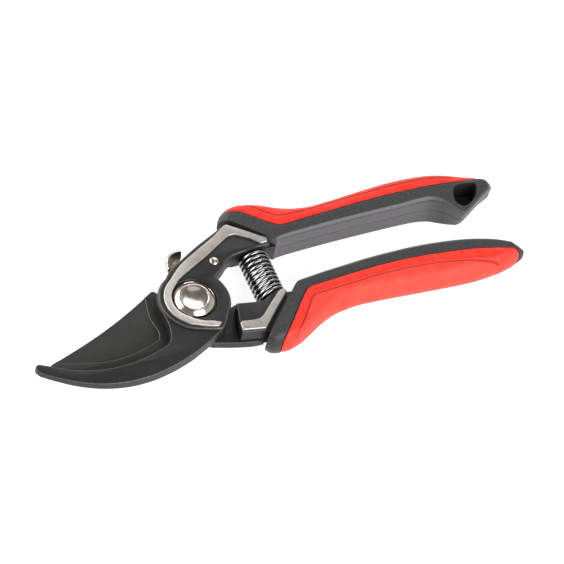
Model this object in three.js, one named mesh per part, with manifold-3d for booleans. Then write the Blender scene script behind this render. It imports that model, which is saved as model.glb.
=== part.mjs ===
// Bypass pruning shears, closed and latched, in millimetres.
// +X runs from the pivot to the handle ends, the blades point to -X, and +Z is the front.
// The origin is on the pivot axis, in the flat end of the pivot bolt's head.

import * as THREE from 'three';
import { ConvexGeometry } from 'three/addons/geometries/ConvexGeometry.js';
import { ParametricGeometry } from 'three/addons/geometries/ParametricGeometry.js';
import { mergeVertices } from 'three/addons/utils/BufferGeometryUtils.js';
import Module from 'manifold-3d';

const wasm = await Module();
wasm.setup();

// ---------- driving dimensions ----------

const hookReach = 75; // pivot axis to the tip of the hook
const handleReach = 140.6; // pivot axis to the ends of the handles
const tipCover = 3.4; // how far the hook's nose reaches past the blade's tip
const hubRadius = 13.5; // round hubs of the blade and the lower forging
const bodyRadius = 14.7; // round part of the hook forging over those hubs

const boltHeadHeight = 2.4;
const boltHeadFlats = 13;
const boltRadius = 4;
const backWasherThickness = 0.5;
const backWasherRadius = 7.6;
const hubThickness = 1.8; // lower forging's hub, behind the blade's hub
const bladeThickness = 3.95;
const bladeRelief = 0.4; // how far the blade's face is ground back behind its land
const bevelWidth = 5; // ground back face along the cutting edge
const bevelStop = 2; // where that ends, outside the hub
const edgeThickness = 0.35;
const hookThickness = 5.25;
const hookTaper = 2.9; // how much thinner the hook's outer edge gets towards its tip
const hookTaperWidth = 3.4;
const pocketHeight = 6.25; // hook forging's back face to the floor inside its rim
const rimHeight = 1;
const frictionWasherThickness = 0.4;
const frictionWasherRadius = 12.6;
const bushingWall = 1;
const capRadius = 8.44;
const capHeight = 1.8;
const capWasherThickness = 0.45;
const boltTipInset = 0.35; // bolt's end below the dish of the cap nut
const dishWeb = 0.5;
const dishDepth = 0.6;
const capRecess = 0.8; // room round the cap nut in its turned recess
const bladeRivetRadius = 1.6;
const bladeRivetCircle = 9.4;
const bladeRivetAngles = [-62, -118];

const handleThickness = 14.3;
const handleEdge = { back: 0.6, front: 1.6 }; // inner corners of the handles
const gripBulge = 6; // rounding depth of the grips' outer side
const gripSkin = 3; // soft grip over the hard core
const gripStart = 62; // where the handles turn parallel to X
const tipRounding = 6; // handles narrower than this get thinner towards their ends
const tangThickness = 5.5;
const tangReach = 94;
const pocketDepth = 10; // recess in the end of the upper handle
const pocketDraft = 0.85;

const springRadius = 6.35;
const springWire = 1.5;
const springX = 32.6;
const springActiveTurns = 8;
const seatPlane = { upper: 16, lower: -8.5 }; // faces of the forgings that carry the seats
const seatHeight = { upper: 0.4, lower: 3.4 };
const seatRim = 0.45; // how far the seats stay inside the spring's outside
const studHeight = 3.5;

const latchPivot = [14.8, 14.9];
const latchBossRadius = 4;
const leverThickness = 1.5;
const latchRivetRadius = 1.55;
const rivetHeadRadius = 1.95;
const rivetHeadHeight = 1.1;
const rivetTailHeight = 0.8;
const rivetTailFlare = 0.3;
const latchWasherThickness = 0.35;
const latchWasherRadius = 3.2;
const noseAngle = 97; // where the latch's nose points at the hub
const noseWidth = 3;
const notchDepth = 2.2;
const thumbHeight = 5.4;
const thumbWall = 1;
// the thumb piece leans outwards: the circles of its outer face at the foot and at the top
const thumbFoot = { centre: [4, 18.9], radius: 6.6 };
const thumbTop = { centre: [3.1, 18.8], radius: 7.25 };
const thumbSpan = [75, 185];

// ---------- clearances ----------

const seatGap = 0.05; // pieces clamped face to face
const runGap = 0.1; // faces that slide on each other
const boreGap = 0.1; // shafts in their bores, on the radius
const cutGap = 0.3; // pieces shaped to each other
const over = 1; // how far a cutter runs past a face

// ---------- levels, from the back to the front ----------

const backWasherZ = boltHeadHeight + seatGap;
const hubBack = backWasherZ + backWasherThickness + runGap;
const hubFront = hubBack + hubThickness;
const lapBack = hubFront + runGap;
const bladeFront = hubBack + bladeThickness;
const hookBack = bladeFront + runGap + seatGap;
const hookFace = hookBack + hookThickness;
const pocketFloor = hookBack + pocketHeight;
const rimTop = pocketFloor + rimHeight;
const capSeat = hookFace;
const capBottom = capSeat + seatGap + capWasherThickness + seatGap;
const handleMid = (hubBack + pocketFloor) / 2;
const handleBack = handleMid - handleThickness / 2;
const handleFront = handleMid + handleThickness / 2;
const leverFront = hookBack - runGap;
const leverBack = leverFront - leverThickness;

// ---------- solids ----------

function solid(geometry) {
  geometry.deleteAttribute('normal');
  geometry.deleteAttribute('uv');
  const merged = mergeVertices(geometry, 1e-4);
  const index = merged.index.array;
  const triangles = [];
  for (let i = 0; i < index.length; i += 3) {
    const [a, b, c] = index.slice(i, i + 3);
    if (a !== b && b !== c && c !== a) triangles.push(a, b, c);
  }
  return new wasm.Manifold(new wasm.Mesh({
    numProp: 3,
    vertProperties: new Float32Array(merged.attributes.position.array),
    triVerts: new Uint32Array(triangles),
  }));
}

function plate(points, low, high) {
  const shape = new THREE.Shape(points.map(([x, y]) => new THREE.Vector2(x, y)));
  const geometry = new THREE.ExtrudeGeometry(shape, { depth: high - low, bevelEnabled: false });
  return solid(geometry.translate(0, 0, low));
}

function disc(radius, low, high, [x, y] = [0, 0], sides = 48) {
  const geometry = new THREE.CylinderGeometry(radius, radius, high - low, sides);
  return solid(geometry.rotateX(Math.PI / 2).translate(x, y, (low + high) / 2));
}

function ring(inner, outer, low, high, centre = [0, 0], sides = 48) {
  return disc(outer, low, high, centre, sides)
    .subtract(disc(inner, low - over, high + over, centre, sides));
}

// a turned piece about the Z axis, its profile given as [radius, height] from pole to pole
function turned(profile, [x, y] = [0, 0], sides = 48) {
  const points = profile.map(([radius, height]) => new THREE.Vector2(radius, height));
  return solid(new THREE.LatheGeometry(points, sides).rotateX(Math.PI / 2).translate(x, y, 0));
}

function hull(points) {
  return solid(new ConvexGeometry(points.map((p) => new THREE.Vector3(...p))));
}

function joined(solids) {
  return solids.reduce((whole, next) => whole.add(next));
}

// a skin over cross sections that have the same number of points, closed at both ends
function lofted(sections) {
  const middle = (points) => [0, 1, 2].map((k) =>
    points.reduce((sum, point) => sum + point[k], 0) / points.length);
  const rows = [
    sections[0].map(() => middle(sections[0])),
    ...sections,
    sections[0].map(() => middle(sections[sections.length - 1])),
  ];
  const count = sections[0].length;
  const surface = (u, v, target) => {
    const row = rows[Math.round(v * (rows.length - 1))];
    target.set(...row[Math.round(u * count) % count]);
  };
  return solid(new ParametricGeometry(surface, count, rows.length - 1));
}

// ---------- outlines ----------

const radians = THREE.MathUtils.degToRad;

function arc([x, y], radius, from, to, steps) {
  return Array.from({ length: steps + 1 }, (_, i) => {
    const angle = radians(from + ((to - from) * i) / steps);
    return [x + radius * Math.cos(angle), y + radius * Math.sin(angle)];
  });
}

function smooth(points, steps) {
  const curve = new THREE.SplineCurve(points.map(([x, y]) => new THREE.Vector2(x, y)));
  return curve.getPoints(steps).map((p) => [p.x, p.y]);
}

// the same line, moved to its left by a distance
function moved(points, distance) {
  return points.map(([x, y], i) => {
    const [ax, ay] = points[Math.max(i - 1, 0)];
    const [bx, by] = points[Math.min(i + 1, points.length - 1)];
    const length = Math.hypot(bx - ax, by - ay);
    return [x - ((by - ay) / length) * distance, y + ((bx - ax) / length) * distance];
  });
}

// points given as [share of the way from the root to the tip, y] along a blade
function alongBlade(reach, points) {
  const root = bodyRadius + 1.3;
  return points.map(([share, y]) => [-root - share * (reach - root), y]);
}

// points given as [share of the way from gripStart to the handle ends, ...] along a handle
const alongHandle = (share) => gripStart + share * (handleReach - gripStart);

// wedges under an edge line: nothing at a width inside the line, up to a height at the line itself
function wedges(edge, width, low, heightAt) {
  const inside = moved(edge, width);
  const outside = moved(edge, -Math.sign(width) * over);
  return joined(edge.slice(1).map((_, i) => hull([i, i + 1].flatMap((k) => [
    [...inside[k], low],
    [...inside[k], low - over],
    [...edge[k], heightAt(edge[k])],
    [...outside[k], heightAt(edge[k])],
    [...outside[k], low - over],
  ]))));
}

// ---------- materials ----------

const finish = (color, roughness, metalness) =>
  new THREE.MeshStandardMaterial({ color, roughness, metalness, flatShading: true });

const materials = {
  coatedSteel: () => finish(0x3a3936, 0.55, 0.3),
  bladeSteel: () => finish(0x3d3c39, 0.5, 0.35),
  nickel: () => finish(0xd8cfc4, 0.18, 1),
  springSteel: () => finish(0xd6d6d8, 0.2, 1),
  plainSteel: () => finish(0x9a9a98, 0.35, 1),
  bronze: () => finish(0xa77b45, 0.4, 1),
  blackPlastic: () => finish(0x1d1d1f, 0.6, 0),
  greyPlastic: () => finish(0x55555a, 0.65, 0),
  redRubber: () => finish(0xf0402c, 0.6, 0),
};

function piece(group, name, body, material) {
  const { vertProperties, triVerts } = body.getMesh();
  const geometry = new THREE.BufferGeometry();
  geometry.setAttribute('position', new THREE.BufferAttribute(vertProperties, 3));
  geometry.setIndex(new THREE.BufferAttribute(triVerts, 1));
  geometry.computeVertexNormals();
  const mesh = new THREE.Mesh(geometry, material);
  mesh.name = name;
  group.add(mesh);
}

// ---------- handle planes shared by the forgings and the handles ----------

// front faces of the handles, from their inner corner to their outer corner
const frontFace = {
  upper: [[43.4, 16.3], [24.7, 33.7]],
  lower: [[42.4, -5.6], [21.2, -26.8]],
};

// the half plane ahead of a front face, as a block that cuts what would pass it
function aheadOf([inner, outer], side, gap) {
  const [near, far] = moved([inner, outer], side * gap);
  const along = [far[0] - near[0], far[1] - near[1]];
  const start = [near[0] - along[0], near[1] - along[1]];
  const end = [far[0] + along[0], far[1] + along[1]];
  return plate([start, end, [end[0] + 90, end[1]], [start[0] + 90, start[1]]], -over, 20);
}

// steel tangs inside the handles, as half widths along a centre line
const tangLine = {
  upper: [[33, 25, 5.2], [40, 23.4, 4.2], [48, 22.6, 3.4], [58, 22.3, 2.8], [tangReach, 22, 2.2]],
  lower: [[31, -15, 6], [39, -12.4, 4.6], [47, -10.6, 3.8], [58, -9.4, 3.4], [tangReach, -9.2, 2.6]],
};

function tang(side, grow) {
  const line = tangLine[side];
  const last = line.length - 1;
  const far = line.map(([x, y, half], i) => [x + (i === last ? grow : 0), y + half + grow]);
  const near = line.map(([x, y, half], i) => [x + (i === last ? grow : 0), y - half - grow]);
  const half = tangThickness / 2 + grow;
  return plate([...far, ...near.reverse()], handleMid - half, handleMid + half);
}

// a disc across the spring's axis, which runs along Y between the two forgings
function springDisc(radius, low, high) {
  return disc(radius, low, high, [0, 0], 32).rotate([-90, 0, 0]).translate([springX, 0, handleMid]);
}

// ---------- hook forging: hook, round body, arm and upper tang in one piece ----------

const hookEdge = alongBlade(hookReach, [
  [0.02, -16], [0.07, -17.6], [0.24, -20.3], [0.41, -21.4], [0.58, -20.5],
  [0.75, -17.7], [0.89, -13.4], [0.965, -11.1],
]);
const hookNose = alongBlade(hookReach, [[0.965, -11.1], [0.993, -11.8], [1, -13.5], [0.982, -15.5]]);
const hookBackEdge = [
  ...alongBlade(hookReach, [
    [0.982, -15.5], [0.9, -19], [0.75, -24.2], [0.58, -28], [0.41, -29.7], [0.24, -29.5],
    [0.07, -27.6],
  ]),
  [-10, -24.4], [-5, -22.2], [0, -19.8], [5, -17],
];
const bodyRight = arc([0.6, 0], bodyRadius, -33, 30, 10);
const armUnderside = [[15, 9.1], [18, 11.3], [20, 13.3], [24, 14.9], [30, 15.7], [33, seatPlane.upper]];
const armEnd = [[43, seatPlane.upper], [43, 20], [28, 34], [26.3, 31.3], [23.2, 30]];
const armTop = [[23.2, 30], [10.4, 24.3], [0.4, 19.1], [-5.4, 15.6]];

const hookOutline = [
  ...smooth(hookEdge, 20), ...smooth(hookNose, 6), ...smooth(hookBackEdge, 26),
  ...bodyRight, ...arc([-0.3, 0.3], bodyRadius, 120, 196, 8), [-14.1, -7], [-14.8, -10.5], [-15.7, -13.7],
];
const bodyOutline = [
  ...bodyRight, ...armUnderside, ...armEnd, ...armTop,
  ...arc([-0.3, 0.3], bodyRadius, 128, 220, 12), [-7.4, -13.1], [0, -15.8], [4.6, -17],
];
const armBlock = [
  [24.5, seatPlane.upper], ...armEnd, [20.5, 28.8], [20.5, 19], [22.2, 16.8],
];
const hookRim = [
  [39.8, 19.3], [26, 29.8], [10, 22.5], [0, 17.6], ...arc([0, 0], 13.9, 122, 224, 14),
  [-7, -12.2], [0, -14.8], [4.5, -16], [6.3, -14.3], [0, -11.6], ...arc([0, 0], 10, 244, 128, 12),
  [0, 11.8], [14, 18.6], [23, 23.5], [26, 24.6], [28, 24.3], [33, 21], [36.6, 17.3], [39.8, 17.3],
];

const taperEdge = smooth([
  ...alongBlade(hookReach, [[0.985, -11.2], [0.998, -12.4], [1, -13.8]]), ...hookBackEdge.slice(0, 9),
], 20);
const taperWedges = wedges(taperEdge, hookTaperWidth, hookBack, ([x]) =>
  hookBack + hookTaper * Math.max((-x - bodyRadius) / (hookReach - bodyRadius), 0.02));

const bushingOuter = boltRadius + boreGap + bushingWall;
const hookForging = joined([
  plate(hookOutline, hookBack, hookFace),
  plate(bodyOutline, hookBack, pocketFloor),
  plate(armBlock, hubBack, pocketFloor),
  plate(hookRim, hookFace, rimTop),
])
  .subtract(taperWedges)
  .subtract(aheadOf(frontFace.upper, 1, cutGap))
  .add(tang('upper', 0))
  .subtract(springDisc(springRadius + cutGap, 0, seatPlane.upper))
  .subtract(disc(capRadius + capRecess, capSeat, rimTop + over))
  .subtract(disc(bushingOuter + boreGap, hookBack - over, rimTop))
  .subtract(disc(frictionWasherRadius + cutGap, hookBack - over, hookBack + frictionWasherThickness))
  .subtract(disc(latchRivetRadius + boreGap, hookBack - over, rimTop, latchPivot, 24));

// ---------- lower forging: hub, arm, block and lower tang in one piece ----------

const lowerBottom = [[22, -23], [17.5, -22.8], [10, -21.1], [1, -18.1]];
const lowerArm = [[4, -2], [15.4, -4.4], [18.4, -3.4], [20, -9], [20, -20], ...lowerBottom, [-2.5, -13.3]];
const springSide = springX + springRadius; // the nib beside the spring stands where it ends
const lowerBlock = [
  [15.9, -7], [24, seatPlane.lower], [springSide - 4.15, seatPlane.lower], [springSide - 1.55, -6.1],
  [springSide - 0.15, -6.3], [springSide + 3.05, -7.2], [springSide + 3.05, -12],
  [25, -26], [24.9, -22.9], [22, -22.7], [12.8, -20.9], [13.2, -17], [14.6, -12],
];
const lowerRim = [
  [12.9, -20.2], [13.4, -16.6], [14.2, -16.2], [19, -17], [22, -17], [24.5, -15.4], [33.4, -7.6],
  [springSide - 3.75, -6.2], [springSide - 1.65, -6.2], [springSide - 1.25, -7.5],
  [24, -20.6], [22.4, -22.1],
];

const notch = plate(
  [[-noseWidth / 2 - cutGap, hubRadius - notchDepth], [noseWidth / 2 + cutGap, hubRadius - notchDepth],
    [noseWidth / 2 + cutGap, hubRadius + over], [-noseWidth / 2 - cutGap, hubRadius + over]],
  hubBack - over,
  bladeFront + over,
).rotate([0, 0, noseAngle - 90]);
const bladeRivetCentres = bladeRivetAngles.map((angle) => {
  const turn = radians(angle);
  return [bladeRivetCircle * Math.cos(turn), bladeRivetCircle * Math.sin(turn)];
});
const bladeRivetHoles = joined(bladeRivetCentres.map((centre) =>
  disc(bladeRivetRadius + seatGap, hubBack - over, bladeFront + over, centre, 24)));

const lowerForging = joined([
  plate(lowerArm, hubBack, bladeFront).subtract(disc(hubRadius + cutGap, hubBack - over, rimTop)),
  disc(hubRadius, hubBack, hubFront),
  plate(lowerArm, hubBack, hubFront),
  plate(lowerBlock, hubBack, pocketFloor),
  plate(lowerRim, pocketFloor - over, rimTop),
])
  .subtract(aheadOf(frontFace.lower, -1, cutGap))
  .add(tang('lower', 0))
  .subtract(springDisc(springRadius + cutGap, seatPlane.lower, 0))
  .subtract(disc(boltRadius + boreGap, hubBack - over, rimTop))
  .subtract(bladeRivetHoles)
  .subtract(notch);

// ---------- cutting blade, lapped over the lower forging's hub ----------

const bladeReach = hookReach - tipCover;
const bladeSpine = [
  ...alongBlade(bladeReach, [
    [1, -13], [0.9, -9.6], [0.79, -7.7], [0.61, -4.4], [0.43, -0.7], [0.25, 3.6], [0.07, 8.5],
  ]),
  [-14, 11.7], [-12.8, 12.1], [-11.8, 11.7],
];
const cuttingEdge = [
  [-12, -14],
  ...alongBlade(bladeReach, [
    [0, -18.5], [0.07, -21.5], [0.22, -24.3], [0.36, -25.4], [0.5, -25], [0.65, -23], [0.79, -19.5],
    [0.9, -16.2], [1, -13],
  ]),
];
const landEdge = [
  [-16.6, 13], [-17, 9.7], [-18, 5], [-18.7, 0], [-18.2, -4], [-17.7, -7], [-18.4, -9.4],
  ...alongBlade(bladeReach, [
    [0.07, -11], [0.25, -13.7], [0.43, -14.8], [0.61, -12.9], [0.83, -9.3], [1, -5],
  ]),
];
const reliefOutline = [...smooth(landEdge, 24), [-hookReach, 20], [-17, 20]];

// the back face, ground down to the cutting edge
const bevel = wedges(smooth(cuttingEdge, 18), -bevelWidth, hubBack, () => bladeFront - edgeThickness)
  .subtract(disc(hubRadius + bevelStop, hubBack - over, rimTop));

const bladeOutline = [...bladeSpine, ...arc([0, 0], hubRadius, 138, -130, 40), ...smooth(cuttingEdge, 24)];
const cuttingBlade = plate(bladeOutline, hubBack, bladeFront)
  .subtract(bevel)
  .subtract(plate(reliefOutline, bladeFront - bladeRelief, bladeFront + over))
  .subtract(disc(hubRadius + cutGap, hubBack - over, lapBack))
  .subtract(disc(boltRadius + boreGap, hubBack - over, rimTop))
  .subtract(bladeRivetHoles)
  .subtract(notch);

// ---------- pivot ----------

const boltTip = capBottom + capHeight - dishWeb - boltTipInset - dishDepth;
const headRadius = boltHeadFlats / 2 / Math.cos(Math.PI / 6);
const pivotBolt = disc(headRadius, 0, boltHeadHeight, [0, 0], 6)
  .add(disc(boltRadius, boltHeadHeight - over, boltTip));
const backWasher = ring(
  boltRadius + boreGap, backWasherRadius, backWasherZ, backWasherZ + backWasherThickness,
);
const frictionWasher = ring(
  bushingOuter + 2 * boreGap, frictionWasherRadius,
  bladeFront + runGap, bladeFront + runGap + frictionWasherThickness,
);
const pivotBushing = ring(boltRadius + seatGap, bushingOuter, hookBack, capSeat - seatGap);
const capWasher = ring(
  boltRadius + boreGap, capRadius - 0.6, capSeat + seatGap, capSeat + seatGap + capWasherThickness,
);
const capTop = capBottom + capHeight;
const capNut = turned([
  [0, capBottom], [capRadius - 0.3, capBottom], [capRadius, capBottom + 0.3], [capRadius, capTop - 0.6],
  [capRadius - 0.35, capTop - 0.15], [capRadius - 1, capTop], [capRadius - 1.7, capTop - dishDepth * 0.35],
  [capRadius - 2.4, capTop - dishDepth * 0.75], [capRadius / 2, capTop - dishDepth * 0.94],
  [0, capTop - dishDepth],
]).subtract(disc(boltRadius + seatGap, capBottom - over, boltTip + seatGap));

// ---------- latch ----------

const noseTurn = radians(noseAngle);
const noseRadius = hubRadius + cutGap;
// a point beside the nose's centre line, at a distance from the pivot axis
const besideNose = (distance, side) => [
  distance * Math.cos(noseTurn) - side * Math.sin(noseTurn),
  distance * Math.sin(noseTurn) + side * Math.cos(noseTurn),
];
const leverOutline = [
  ...arc(latchPivot, latchBossRadius, -130, 105, 16),
  [7.2, 22.6], ...arc(thumbFoot.centre, thumbFoot.radius - thumbWall / 2, ...thumbSpan, 12),
  besideNose(noseRadius + 2, noseWidth / 2), besideNose(noseRadius, noseWidth / 2),
  besideNose(noseRadius, -noseWidth / 2), [2.5, 15.4], [9, 13.2],
];
const thumbCorners = [
  [thumbFoot, thumbWall, 0], [thumbTop, thumbWall, thumbHeight],
  [thumbTop, 0, thumbHeight], [thumbFoot, 0, 0],
].map(([{ centre, radius }, inset, height]) => arc(centre, radius - inset, ...thumbSpan, 12)
  .map((point) => [...point, leverBack + height]));
const thumbPiece = lofted(thumbCorners[0].map((_, i) => thumbCorners.map((line) => line[i])));
const latchLever = plate(leverOutline, leverBack, leverFront)
  .add(thumbPiece)
  .subtract(disc(latchRivetRadius + boreGap, leverBack - over, leverFront + over, latchPivot, 24));
const latchWasherFront = leverBack - seatGap;
const latchWasherBack = latchWasherFront - latchWasherThickness;
const latchWasher = ring(
  latchRivetRadius + boreGap, latchWasherRadius, latchWasherBack, latchWasherFront, latchPivot, 24,
);
const rivetBack = latchWasherBack - seatGap;
const latchRivet = turned([
  [0, rivetBack - rivetTailHeight], [rivetHeadRadius, rivetBack - rivetTailHeight],
  [rivetHeadRadius + rivetTailFlare, rivetBack], [latchRivetRadius, rivetBack],
  [latchRivetRadius, pocketFloor + seatGap], [rivetHeadRadius, pocketFloor + seatGap],
  [rivetHeadRadius, pocketFloor + 0.3], [rivetHeadRadius * 0.8, pocketFloor + rivetHeadHeight * 0.7],
  [rivetHeadRadius * 0.4, pocketFloor + rivetHeadHeight], [0, pocketFloor + rivetHeadHeight],
], latchPivot, 24);

// ---------- spring and its seats ----------

const springStart = seatPlane.lower + seatGap + seatHeight.lower + seatGap;
const springEnd = seatPlane.upper - seatGap - seatHeight.upper - seatGap;

// a coil whose first and last turns lie closed on the seats
class SpringCurve extends THREE.Curve {
  getPoint(share) {
    const turns = springActiveTurns + 2;
    const closedPitch = springWire + 0.12;
    const open = (springEnd - springStart - springWire - 2 * closedPitch) / springActiveTurns;
    const turn = share * turns;
    const closed = Math.min(turn, 1) + Math.max(turn - turns + 1, 0);
    const height = closed * closedPitch + (turn - closed) * open;
    const radius = springRadius - springWire / 2;
    const angle = 2 * Math.PI * turn;
    return new THREE.Vector3(
      springX + radius * Math.cos(angle),
      springStart + springWire / 2 + height,
      handleMid + radius * Math.sin(angle),
    );
  }
}

const wireSection = new THREE.Shape(arc([0, 0], springWire / 2, 0, 300, 5)
  .map(([x, y]) => new THREE.Vector2(x, y)));
const coilSpring = solid(new THREE.ExtrudeGeometry(wireSection, {
  steps: 14 * (springActiveTurns + 2),
  extrudePath: new SpringCurve(),
}));

const studRadius = springRadius - springWire - cutGap;
const seatRadius = springRadius - seatRim;
const lowerSeatFoot = seatPlane.lower + seatGap;
const lowerSpringSeat = springDisc(seatRadius, lowerSeatFoot, lowerSeatFoot + seatHeight.lower)
  .add(springDisc(studRadius, lowerSeatFoot, lowerSeatFoot + seatHeight.lower + studHeight));
const upperSeatFoot = seatPlane.upper - seatGap;
const upperSpringSeat = springDisc(seatRadius, upperSeatFoot - seatHeight.upper, upperSeatFoot)
  .add(springDisc(studRadius, upperSeatFoot - seatHeight.upper - studHeight, upperSeatFoot));

// ---------- handles ----------

// stations of a handle: [inner x, inner y at the front, inner y at the back, outer x, outer y]
const flare = {
  upper: [
    [43.4, 16.3, 15.9, 24.7, 33.7], [44.3, 16.7, 16.1, 26.3, 36.4], [45.2, 16.9, 16.3, 29, 38.4],
    [46.5, 17, 16.4, 33.3, 39.2], [48, 17.1, 16.5, 38, 38.6], [50, 17.2, 16.6, 43, 36.9],
    [53, 17.3, 16.7, 48, 34.4], [57, 17.4, 16.8, 54, 32.2],
  ],
  lower: [
    [42.4, -5.6, -5.6, 21.2, -26.8], [43.2, -4.9, -4.9, 22.3, -28.5], [44.2, -4.4, -4.4, 24.8, -29.7],
    [45.6, -4.2, -4.2, 28.5, -30.1], [47.5, -4, -4, 32.5, -29.7], [50, -3.8, -3.8, 37, -28.3],
    [53, -3.5, -3.5, 42, -25.7], [57, -3.2, -3.2, 48, -22.4], [60, -3, -3, 55, -19.6],
  ],
};
// [share of the way to the handle end, inner y at the front, inner y at the back, outer y]
const shaft = {
  upper: [
    [0, 17.5, 16.9, 30.8], [0.1, 17.6, 17, 30.8], [0.23, 17.6, 17, 31.4], [0.36, 17.5, 16.9, 32],
    [0.48, 17.4, 16.7, 32.3], [0.585, 17.6, 16.1, 32], [0.64, 17.2, 15, 31.5],
    [0.69, 15, 13, 30.9], [0.725, 11.5, 11.7, 30.3], [0.755, 7.6, 10.8, 29.6], [0.77, 6.4, 10.4, 29.2],
    [0.79, 6.6, 10.5, 28.6], [0.84, 8.9, 12.5, 27], [0.9, 11.9, 15.4, 24.8], [0.945, 14, 17.4, 22.7],
    [0.97, 15.2, 18, 20.9], [0.985, 16.2, 18, 19.2],
  ],
  lower: [
    [0.02, -2.8, -2.8, -18.2], [0.16, -2.2, -2.2, -18.2], [0.3, -2.1, -2.1, -18.9],
    [0.42, -2.3, -2.3, -19.6], [0.55, -3.1, -3.1, -20.3], [0.68, -4.6, -4.6, -20.8],
    [0.78, -6.4, -6.4, -20.5], [0.87, -8.8, -8.8, -19.3], [0.93, -11.2, -11.2, -17.7],
    [0.965, -13, -13, -16.8], [0.985, -14.2, -14.2, -16.2], [1, -15, -15, -15.8],
  ],
};

function stations(side) {
  const straight = shaft[side].map(([share, front, back, outer]) => {
    const x = alongHandle(share);
    return [x, front, back, x, outer];
  });
  return [...flare[side], ...straight];
}

// one cross section: square inner side with small corners, round outer side
function section([innerX, innerFront, innerBack, outerX, outerY], skin) {
  const along = [outerX - innerX, outerY - (innerFront + innerBack) / 2];
  const width = Math.hypot(...along) - skin;
  const unit = along.map((d) => d / Math.hypot(...along));
  const bulge = Math.min(gripBulge, width * 0.45);
  const [back, front] = [handleEdge.back, handleEdge.front].map((r) => Math.min(r, width * 0.3));
  const half = (handleThickness / 2 - skin) * Math.sqrt(Math.min(Math.hypot(...along) / tipRounding, 1));
  const low = handleMid - half;
  const high = handleMid + half;
  const slope = (height) =>
    ((height - handleBack) / handleThickness - 0.5) * (innerFront - innerBack);
  const inset = Math.min(skin, 1);
  const inner = [[back, low], [0, low + back], [0, high - front], [front * 0.3, high - front * 0.3],
    [front, high]].map(([across, height]) => [inset + across, height]);
  const outer = arc([0, 0], 1, 90, -90, 8)
    .map(([c, s]) => [width - bulge + bulge * c, handleMid + half * s]);
  return [...inner, ...outer].map(([across, height]) => [
    innerX + unit[0] * across,
    (innerFront + innerBack) / 2 + unit[1] * across + slope(height) * Math.max(1 - across / width, 0),
    height,
  ]);
}

function handleBody(side, skin) {
  const wideEnough = ([innerX, , back, outerX, outerY]) =>
    Math.hypot(outerX - innerX, outerY - back) > 2 * skin;
  const sections = stations(side).filter(wideEnough).map((station) => section(station, skin));
  return lofted(side === 'upper' ? sections.map((points) => points.reverse()) : sections);
}

// where the soft grip's edge runs on the front face, from the flare to the handle end
const gripEdge = {
  upper: [
    [26, 39.3], [30.5, 35.4], [33, 34], [37, 31], [41, 27.2], [45, 24.2], [47, 23], [49, 22.8],
    ...[[0, 23.4], [0.23, 24], [0.36, 24.2], [0.48, 24.1], [0.62, 23.7], [0.74, 22.8], [0.83, 21.9],
      [0.9, 21.6], [1.05, 23.5]].map(([share, y]) => [alongHandle(share), y]),
  ],
  lower: [
    [18, -37], [26, -31], [30, -27], [35, -21.5], [40, -15.6], [45, -10.2], [46.5, -9.1], [48.5, -8.7],
    ...[[0, -7.8], [0.23, -7.1], [0.36, -7.3], [0.48, -8], [0.61, -9.2], [0.74, -10.7], [0.86, -13],
      [0.93, -14.8], [0.985, -17], [1.05, -20]].map(([share, y]) => [alongHandle(share), y]),
  ],
};

// everything on the inner side of the grip's edge
function coreSide(side, gap) {
  const sign = side === 'upper' ? 1 : -1;
  const line = moved(gripEdge[side], -sign * gap);
  const [first, last] = [line[0], line[line.length - 1]];
  const beyond = handleReach + 20;
  return plate(
    [...line, [beyond, last[1]], [beyond, -sign * 20], [0, -sign * 20], [0, first[1]]],
    -over,
    handleFront + over,
  );
}

const pocketAt = (points) => points.map(([inset, y]) => [handleReach - inset, y]);
const pocketMouth = pocketAt([
  [19.4, 14], [19, 12], [17.6, 10.2], [16, 9.6], [12.6, 11.2], [9.8, 13.6], [8.2, 16.5], [7.7, 18.4],
  [8.3, 19.5], [10.6, 20.1], [15.4, 20.4], [17.6, 19], [18.8, 16.5],
]);
const pocketMiddle = [handleReach - 13.4, 15.4];
const pocketFloorOutline = pocketMouth.map(([x, y]) => [
  pocketMiddle[0] + (x - pocketMiddle[0]) * pocketDraft,
  pocketMiddle[1] + 0.6 + (y - pocketMiddle[1]) * pocketDraft,
]);
const endPocket = hull([
  ...pocketMouth.map((p) => [...p, handleFront + over / 10]),
  ...pocketFloorOutline.map((p) => [...p, handleFront - pocketDepth]),
]);

function handleCore(side) {
  return handleBody(side, 0).intersect(coreSide(side, cutGap))
    .add(handleBody(side, gripSkin))
    .subtract(tang(side, cutGap));
}

function handleGrip(side) {
  return handleBody(side, 0).subtract(coreSide(side, 0))
    .subtract(handleBody(side, gripSkin - cutGap));
}

// ---------- assembly ----------

const shears = new THREE.Group();
const hookHalf = new THREE.Group();
const bladeHalf = new THREE.Group();
const latch = new THREE.Group();
shears.add(hookHalf, bladeHalf, latch);

piece(hookHalf, 'hook_forging', hookForging, materials.coatedSteel());
piece(hookHalf, 'pivot_bolt', pivotBolt, materials.plainSteel());
piece(hookHalf, 'pivot_cap_nut', capNut, materials.nickel());
piece(hookHalf, 'cap_spring_washer', capWasher, materials.springSteel());
piece(hookHalf, 'pivot_bushing', pivotBushing, materials.bronze());
piece(hookHalf, 'friction_washer', frictionWasher, materials.bronze());
piece(hookHalf, 'back_washer', backWasher, materials.plainSteel());
piece(hookHalf, 'upper_handle_core', handleCore('upper').subtract(endPocket), materials.greyPlastic());
piece(hookHalf, 'upper_grip', handleGrip('upper'), materials.redRubber());
piece(hookHalf, 'upper_spring_seat', upperSpringSeat, materials.blackPlastic());
piece(hookHalf, 'coil_spring', coilSpring, materials.springSteel());
piece(hookHalf, 'latch_rivet', latchRivet, materials.nickel());
piece(hookHalf, 'latch_wave_washer', latchWasher, materials.springSteel());

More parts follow.
